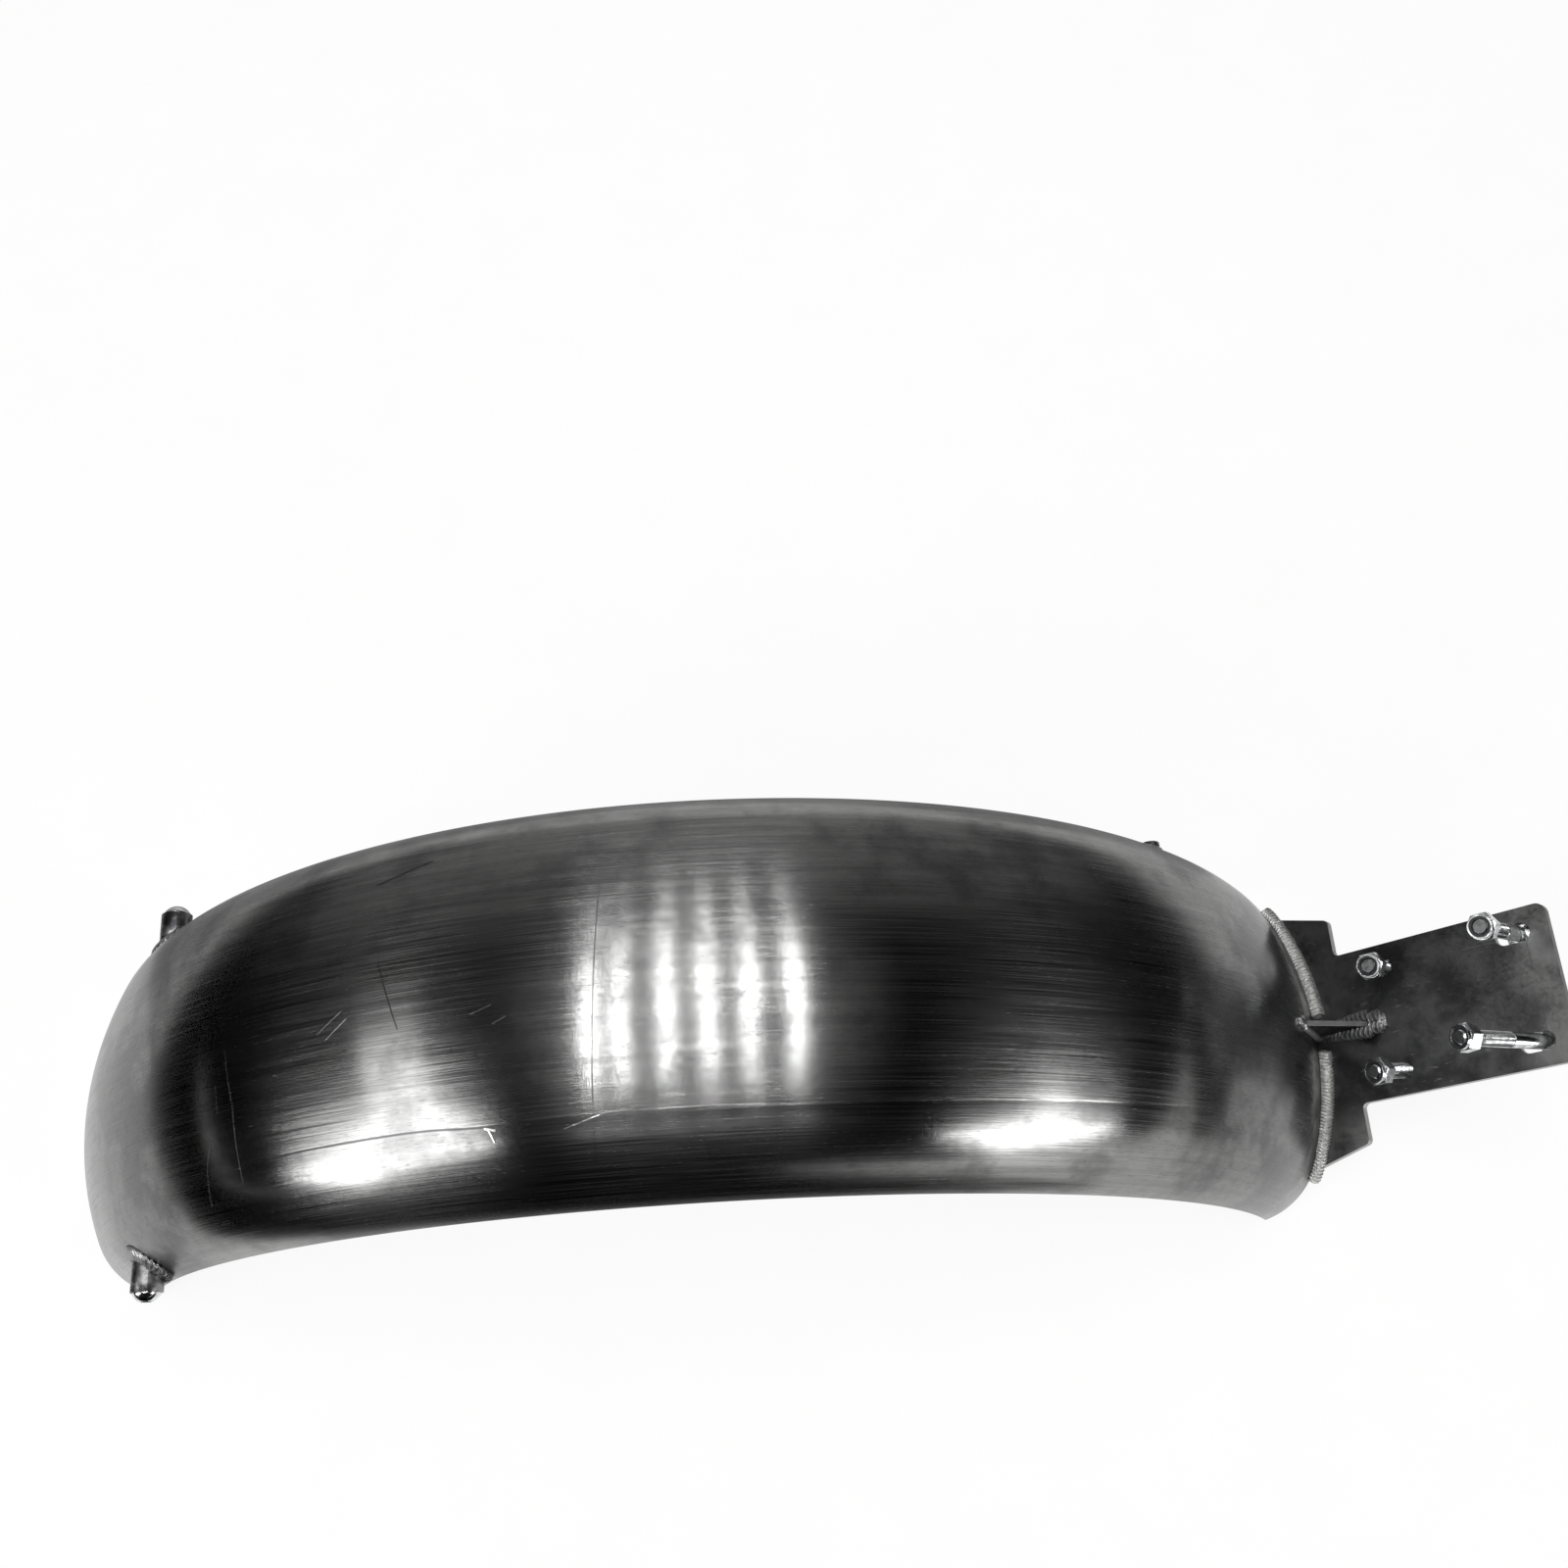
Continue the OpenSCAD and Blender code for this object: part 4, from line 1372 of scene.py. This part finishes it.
@dataclass
class PlateBolts:
    """The four hexagon bolts that stand loosely in the plate, with real threads."""

    wheel: Wheel
    material: bpy.types.Material
    end_material: bpy.types.Material
    shank_r: float = 4.0
    pitch: float = 1.25
    thread_depth: float = 0.62
    hex_af: float = 13.0
    head_h: float = 5.3
    # Heights over the head at which its form is drawn, and where the shank starts.
    head_rings: tuple[float, ...] = (5.3, 5.05, 4.7, 4.3, 3.8, 3.2, 0.12, 0.0)
    neck: float = 0.02
    sides: int = 36
    steps_a_turn: int = 9
    # Bevels of the head's top and foot, and of the shank's end.
    bevel_deg: float = 30.0
    bevel_in: float = 0.2
    foot_out: float = 0.25
    foot_slope: float = 4.0
    end_in: float = 0.9
    end_slope: float = 1.1
    # Thread form: a ridge's height before its top is cut flat at 1, and its flanks' steepness.
    crest: float = 1.35
    flank: float = 3.6
    row_y: float = 27.5
    seat_clear: float = 0.05
    places: tuple[BoltPlace, ...] = (
        BoltPlace("short_near", 44.5, Side.NEAR, 30, 2, -12.5, -5),
        BoltPlace("short_far", 44.5, Side.FAR, 30, 2, 6, -8),
        BoltPlace("long_near", 116, Side.NEAR, 60, 27, -20.5, 0),
        BoltPlace("long_far", 116, Side.FAR, 60, 27, 4, -7),
    )

    def frame(self, place: BoltPlace) -> Matrix:
        """Stands a bolt in its hole, so that its head's corner rests on the plate.

        Args:
            place: Where the bolt stands.

        Returns:
            Frame whose z runs from the head's bearing face to the nut.
        """
        out, over = math.radians(place.lean_out), math.radians(place.lean_side)
        tilt = math.acos(math.cos(out) * math.cos(over))
        half_plate = self.wheel.plate_t / 2
        corner = self.hex_af / 2 / math.cos(math.radians(30))
        seat = half_plate / math.cos(tilt) + corner * math.tan(tilt) + self.seat_clear
        foot = Matrix.Translation(Vector((place.reach, place.side.value * self.row_y, -half_plate)))
        lean = Matrix.Rotation(-over, 4, "X") @ Matrix.Rotation(out, 4, "Y")
        return self.wheel.plate() @ foot @ lean @ Matrix.Translation(Vector((0, 0, -seat)))

    def head_radius(self, z: float, turn: float) -> float:
        """Shapes the bevelled hexagon head.

        Args:
            z: Distance below its bearing face.
            turn: Way round it, in radians.

        Returns:
            Radius of the head there.
        """
        sector = (turn + math.pi / 6) % (math.pi / 3) - math.pi / 6
        flat = self.hex_af / 2 / math.cos(sector)
        cone = self.hex_af / 2 - self.bevel_in + (self.head_h - z) / math.tan(math.radians(self.bevel_deg))
        return min(flat, cone, self.hex_af / 2 + self.foot_out + z * self.foot_slope)

    def thread_radius(self, z: float, turn: float, place: BoltPlace) -> float:
        """Shapes the shank, its thread and its bevelled end.

        Args:
            z: Distance over the bearing face.
            turn: Way round it, in radians.
            place: Bolt that the shank belongs to.

        Returns:
            Radius of the shank there.
        """
        crest = self.shank_r
        if z > place.plain:
            phase = (z / self.pitch - turn / math.tau) % 1.0
            ridge = min(1.0, max(0.0, self.crest - abs(phase - 0.5) * self.flank))
            fade = min(1.0, (z - place.plain) / self.pitch)
            crest -= fade * self.thread_depth * (1 - ridge)
        return min(crest, self.shank_r - self.end_in + (place.length - z) * self.end_slope)

    def build(self) -> list[bpy.types.Object]:
        """Makes the four bolts.

        Returns:
            Their objects.
        """
        pieces = []
        turns = [math.tau * k / self.sides for k in range(self.sides)]
        for place in self.places:
            frame = self.frame(place)
            profile: list[tuple[float, Callable[[float, float], float]]] = []
            for z in self.head_rings:
                profile.append((-z, lambda t, z=z: self.head_radius(z, t)))
            threaded = place.length - place.plain
            steps = round(threaded / self.pitch * self.steps_a_turn)
            shank = [self.neck, place.plain]
            shank += [place.plain + threaded * i / steps for i in range(1, steps + 1)]
            for z in shank:
                profile.append((z, lambda t, z=z: self.thread_radius(z, t, place)))
            rings = [
                [frame @ Vector((r(t) * math.cos(t), r(t) * math.sin(t), z)) for t in turns]
                for z, r in profile
            ]
            bolt = new_piece(f"hex_bolt_{place.name}", *skin(rings), self.material, 40.0)
            bolt.data.materials.append(self.end_material)
            bolt.data.polygons[-1].material_index = 1  # the cropped end
            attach(bolt, "root")
            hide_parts(f"plate_bolt_{place.name}")
            pieces.append(bolt)
        return pieces


# ---------------------------------------------------------------- carried pieces


@dataclass
class CarriedPieces:
    """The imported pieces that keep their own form, with broken edges and a finish."""

    nodes: dict[str, bpy.types.Object]
    edge_mm: float = 0.3
    merge_mm: float = 0.01
    corner_deg: float = 40.0

    def dress(
        self, names: Iterable[str], material: bpy.types.Material, edge_mm: float | None = None
    ) -> None:
        """Gives pieces a finish and rounds their edges.

        Args:
            names: Nodes to dress.
            material: Finish.
            edge_mm: Width of the rounded edges, or None for the usual one.
        """
        for name in names:
            obj = self.nodes[name]
            obj.data.materials.clear()
            obj.data.materials.append(material)
            weld = obj.modifiers.new("joined", "WELD")
            weld.merge_threshold = self.merge_mm * MM
            bevel = obj.modifiers.new("broken_edges", "BEVEL")
            bevel.width = (edge_mm or self.edge_mm) * MM
            bevel.segments = 2
            bevel.limit_method = "ANGLE"
            bevel.angle_limit = math.radians(self.corner_deg)
            bevel.harden_normals = True


# ---------------------------------------------------------------- studio


@dataclass(frozen=True)
class Lamp:
    """A rectangular lamp that faces a point."""

    name: str
    place: tuple[float, float, float]
    target: tuple[float, float, float]
    width: float
    height: float
    radiance: float


@dataclass
class Studio:
    """Floor, lamps, surroundings and camera."""

    floor: bpy.types.Material
    # Width of the floor, in metres.
    floor_size: float = 14.0
    # A row of tubes over the fender, whose far ends fade out. Places and sizes in metres.
    tube_x: tuple[float, ...] = (-0.73, -0.515, -0.205, 0.08, 0.365, 0.68)
    tube_z: float = 2.4
    tube_y: float = 0.06
    tube_length: float = 1.48
    tube_width: float = 0.038
    tube_radiance: float = 33.0
    fade_length: float = 1.1
    fade_radiance: float = 8.0
    # Level of the room between two values of a direction: start, end, first and last level.
    far_wall: tuple[float, float, float, float] = (0.45, 0.9, 0.006, 0.36)
    ceiling: tuple[float, float, float, float] = (0.8, 0.93, 0.0, 0.28)
    windows: tuple[Lamp, ...] = (
        Lamp("window_left", (-1.668, -1.039, 1.077), (-0.16, -0.06, 0.2), 0.8, 1.3, 8.0),
        Lamp("transom_left", (-1.705, -0.222, 1.459), (-0.16, -0.06, 0.2), 0.8, 0.4, 2.0),
        Lamp("window_right", (1.539, -1.269, 0.66), (0.11, -0.07, 0.19), 1.05, 0.66, 8.5),
    )
    # Black cards keep the white floor out of the metal. Left, near, right and far edges, in mm.
    cards: tuple[tuple[float, float, float, float], ...] = (
        (-720.0, -7000.0, 220.0, -215.0),
        (-4000.0, -7000.0, -720.0, 7000.0),
        (-7000.0, 500.0, -4000.0, 7000.0),
        (660.0, -350.0, 7000.0, 7000.0),
    )
    # A grey card stands in for the fender's shadow on the floor that the far skirt mirrors: a painted
    # shadow.
    floor_shadow_card: tuple[float, float, float, float] = (-600.0, 125.0, 290.0, 480.0)
    card_z: float = 2.0
    velvet_dye: str = "#030303"
    # Grey of the card that stands in for the fender's shadow.
    shadow_card_dye: str = "#a0a0a0"
    # Place of the camera in metres, and its turn in degrees.
    camera_place: tuple[float, float, float] = (0.01855, -0.1929, 0.91358)
    camera_turn: tuple[float, float, float] = (22.103, 1.975, -3.523)
    lens_mm: float = 37.83

    def light(self, lamp: Lamp) -> None:
        """Hangs one lamp.

        Args:
            lamp: Lamp to hang.
        """
        data = bpy.data.lights.new(lamp.name, "AREA")
        data.shape = "RECTANGLE"
        data.size, data.size_y = lamp.width, lamp.height
        data.energy = math.pi * lamp.width * lamp.height * lamp.radiance
        obj = bpy.data.objects.new(lamp.name, data)
        obj.location = lamp.place
        way = Vector(lamp.target) - Vector(lamp.place)
        obj.rotation_euler = way.to_track_quat("-Z", "Y").to_euler()
        bpy.context.scene.collection.objects.link(obj)

    def hang_lamps(self) -> None:
        """Hangs the tubes over the fender, dimmer at their far ends, and the lamps beside it."""
        tube = ("tube", self.tube_y, self.tube_length, self.tube_radiance)
        fade_y = self.tube_y + (self.tube_length + self.fade_length) / 2
        fade = ("fade", fade_y, self.fade_length, self.fade_radiance)
        for number, x in enumerate(self.tube_x):
            for kind, y, length, radiance in (tube, fade):
                place, below = (x, y, self.tube_z), (x, y, 0.0)
                self.light(Lamp(f"{kind}_{number}", place, below, self.tube_width, length, radiance))
        for lamp in self.windows:
            self.light(lamp)

    def surround(self) -> None:
        """Makes the room: dark, with a pale wall on the far side and a glow round the tubes."""
        room = Finish("studio_room", of_room=True)
        _, far, up = room.add(Step.SPLIT, room.add(Step.DIRECTION)).node.outputs
        far_wall = room.add(Step.RANGE, far, *self.far_wall)
        ceiling = room.add(Step.RANGE, up, *self.ceiling)
        level = room.chain(Step.HIGHER, far_wall, ceiling, room.add(Step.LIGHT_PATH))
        room.add(Step.ROOM_END, room.add(Step.ROOM, "#ffffff", level))
        bpy.context.scene.world = room.material

    @staticmethod
    def lay_sheet(
        name: str, box: Sequence[float], z: float, material: bpy.types.Material, seen: bool = True
    ) -> None:
        """Lays a flat sheet as a part of the stage.

        Args:
            name: Name of the sheet.
            box: Its left, near, right and far edges, in millimetres.
            z: Its height, in millimetres.
            material: Its finish.
            seen: Whether it also shows outside reflections.
        """
        left, near, right, far = box
        corners = [Vector((x, y, z)) for x, y in ((left, near), (right, near), (right, far), (left, far))]
        sheet = new_piece(name, corners, [(0, 1, 2, 3)], material)
        if not seen:
            sheet.visible_camera = sheet.visible_diffuse = sheet.visible_shadow = False

    def lay_cards(self) -> None:
        """Lays black cards, and a grey one that stands in for the fender's shadow, on the floor; they only
        show in the metal.
        """
        velvet = MattCloth("black_velvet", self.velvet_dye).build()
        shadow_cloth = MattCloth("grey_shadow_cloth", self.shadow_card_dye).build()
        cards = [(f"black_card_{number}", card, velvet) for number, card in enumerate(self.cards)]
        for name, box, cloth in (*cards, ("painted_shadow_card", self.floor_shadow_card, shadow_cloth)):
            self.lay_sheet(name, box, self.card_z, cloth, seen=False)

    def place_camera(self) -> None:
        """Sets the camera up."""
        data = bpy.data.cameras.new("camera")
        data.sensor_width = 36.0
        data.lens = self.lens_mm
        obj = bpy.data.objects.new("camera", data)
        obj.location = self.camera_place
        obj.rotation_euler = [math.radians(a) for a in self.camera_turn]
        bpy.context.scene.collection.objects.link(obj)
        bpy.context.scene.camera = obj

    def build(self) -> None:
        """Builds the whole studio."""
        half = self.floor_size / 2 / MM
        self.place_camera()
        self.lay_sheet("studio_floor", (-half, -half, half, half), 0.0, self.floor)
        self.lay_cards()
        self.hang_lamps()
        self.surround()
        bpy.context.scene.view_settings.view_transform = "Standard"


# ---------------------------------------------------------------- assembly


@dataclass
class Fender:
    """The dressed fender."""

    nodes: dict[str, bpy.types.Object]
    wheel: Wheel = field(default_factory=Wheel)
    section: Section = field(default_factory=Section)
    # Patches in the frames of the boss, the bush and the plate that they belong to.
    boss_burn: Burn = Burn(Vector((4, -2, 88)), 17.0)
    bush_burn: Burn = Burn(Vector((0, 0, 89)), 9.0)
    rib_burn: Burn = Burn(Vector((-6, 0, 14)), 26.0)
    pool_burn: Burn = Burn(Vector((30, 0, 0)), 13.0)
    # Paler patches on the plate: the first three are painted light across the tongue's outer end.
    worn: tuple[Burn, ...] = (
        Burn(Vector((131, -28, 0)), 30.0),
        Burn(Vector((131, 4, 0)), 30.0),
        Burn(Vector((131, 36, 0)), 30.0),
        Burn(Vector((13, -62, 0)), 24.0),
    )

    def burns(self) -> list[Burn]:
        """Places the patches of the shell that welding has darkened.

        Returns:
            The patches in the row's frame.
        """
        burns = [self.boss_burn.on(self.wheel.skirt(BOSS, side)) for side in Side]
        burns.append(self.bush_burn.on(self.wheel.skirt(BUSH, Side.FAR)))
        burns.append(self.rib_burn.on(self.wheel.plate()))
        return burns

    def build(self) -> list[str]:
        """Builds and dresses everything.

        Returns:
            Names of the new pieces.
        """
        burns = self.burns()
        sheet = BrushedSheetSteel().build(burns)
        on_plate = self.wheel.plate()
        heated, worn = [self.pool_burn.on(on_plate)], [burn.on(on_plate) for burn in self.worn]
        upward, sideways = on_plate.to_3x3() @ Vector((0, 0, 1)), Vector((0, 1, 0))
        plate = MillScalePlate("mill_scale_plate", upward).build(heated, worn)
        # The rib's copy of the scale is darker: painted shade for the shade on its faces.
        rib = MillScalePlate("mill_scale_rib_in_shade", sideways, scale_light="#4a4a4b").build(heated, worn)
        bar = TurnedBarSteel().build()
        weld = WeldMetal().build()
        sooty_and_shaded = WeldMetal(
            "sooty_weld_metal", ridge="#a0a0a1", soot_and_shade="#1c1c1d", roughness=0.36, sooty_and_shaded=0.55
        ).build()
        zinc = BrightZinc().build()
        nylon = MouldedNylon().build()
        pieces = [RolledShell(self.wheel, self.section, sheet).build()]
        pieces += Welds(self.wheel, self.section, weld, sooty_and_shaded).build()
        cropped = BrightZinc(
            "zinc_on_cropped_ends", plating="#858686", worn="#5f6060", roughness=0.4
        ).build()
        pieces += PlateBolts(self.wheel, zinc, cropped).build()
        carried = CarriedPieces(self.nodes)
        carried.dress(("mounting_plate",), plate)
        carried.dress(("gusset_rib",), rib)
        carried.dress(("tail_boss_near", "tail_boss_far", "side_bush"), bar)
        polished = BrightZinc(
            "polished_zinc_plating", plating="#dfe0e0", worn="#c4c5c5", roughness=0.12
        ).build()
        carried.dress(("tail_bolt_near", "tail_bolt_far"), polished, edge_mm=0.25)
        for end in ("short_near", "short_far", "long_near", "long_far"):
            carried.dress((f"lock_nut_{end}",), zinc, edge_mm=0.35)
            carried.dress((f"nut_insert_{end}",), nylon, edge_mm=0.2)
        return [piece.name for piece in pieces]


def main() -> None:
    """Builds the studio and the fender, and notes the name of each new piece."""
    logging.basicConfig(level=logging.INFO, format="%(name)s: %(message)s")
    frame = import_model()
    Studio(PaintedFloor().build()).build()
    for name in Fender(frame["nodes"]).build():
        LOG.info("made %s", name)


if __name__ == "__main__":
    main()
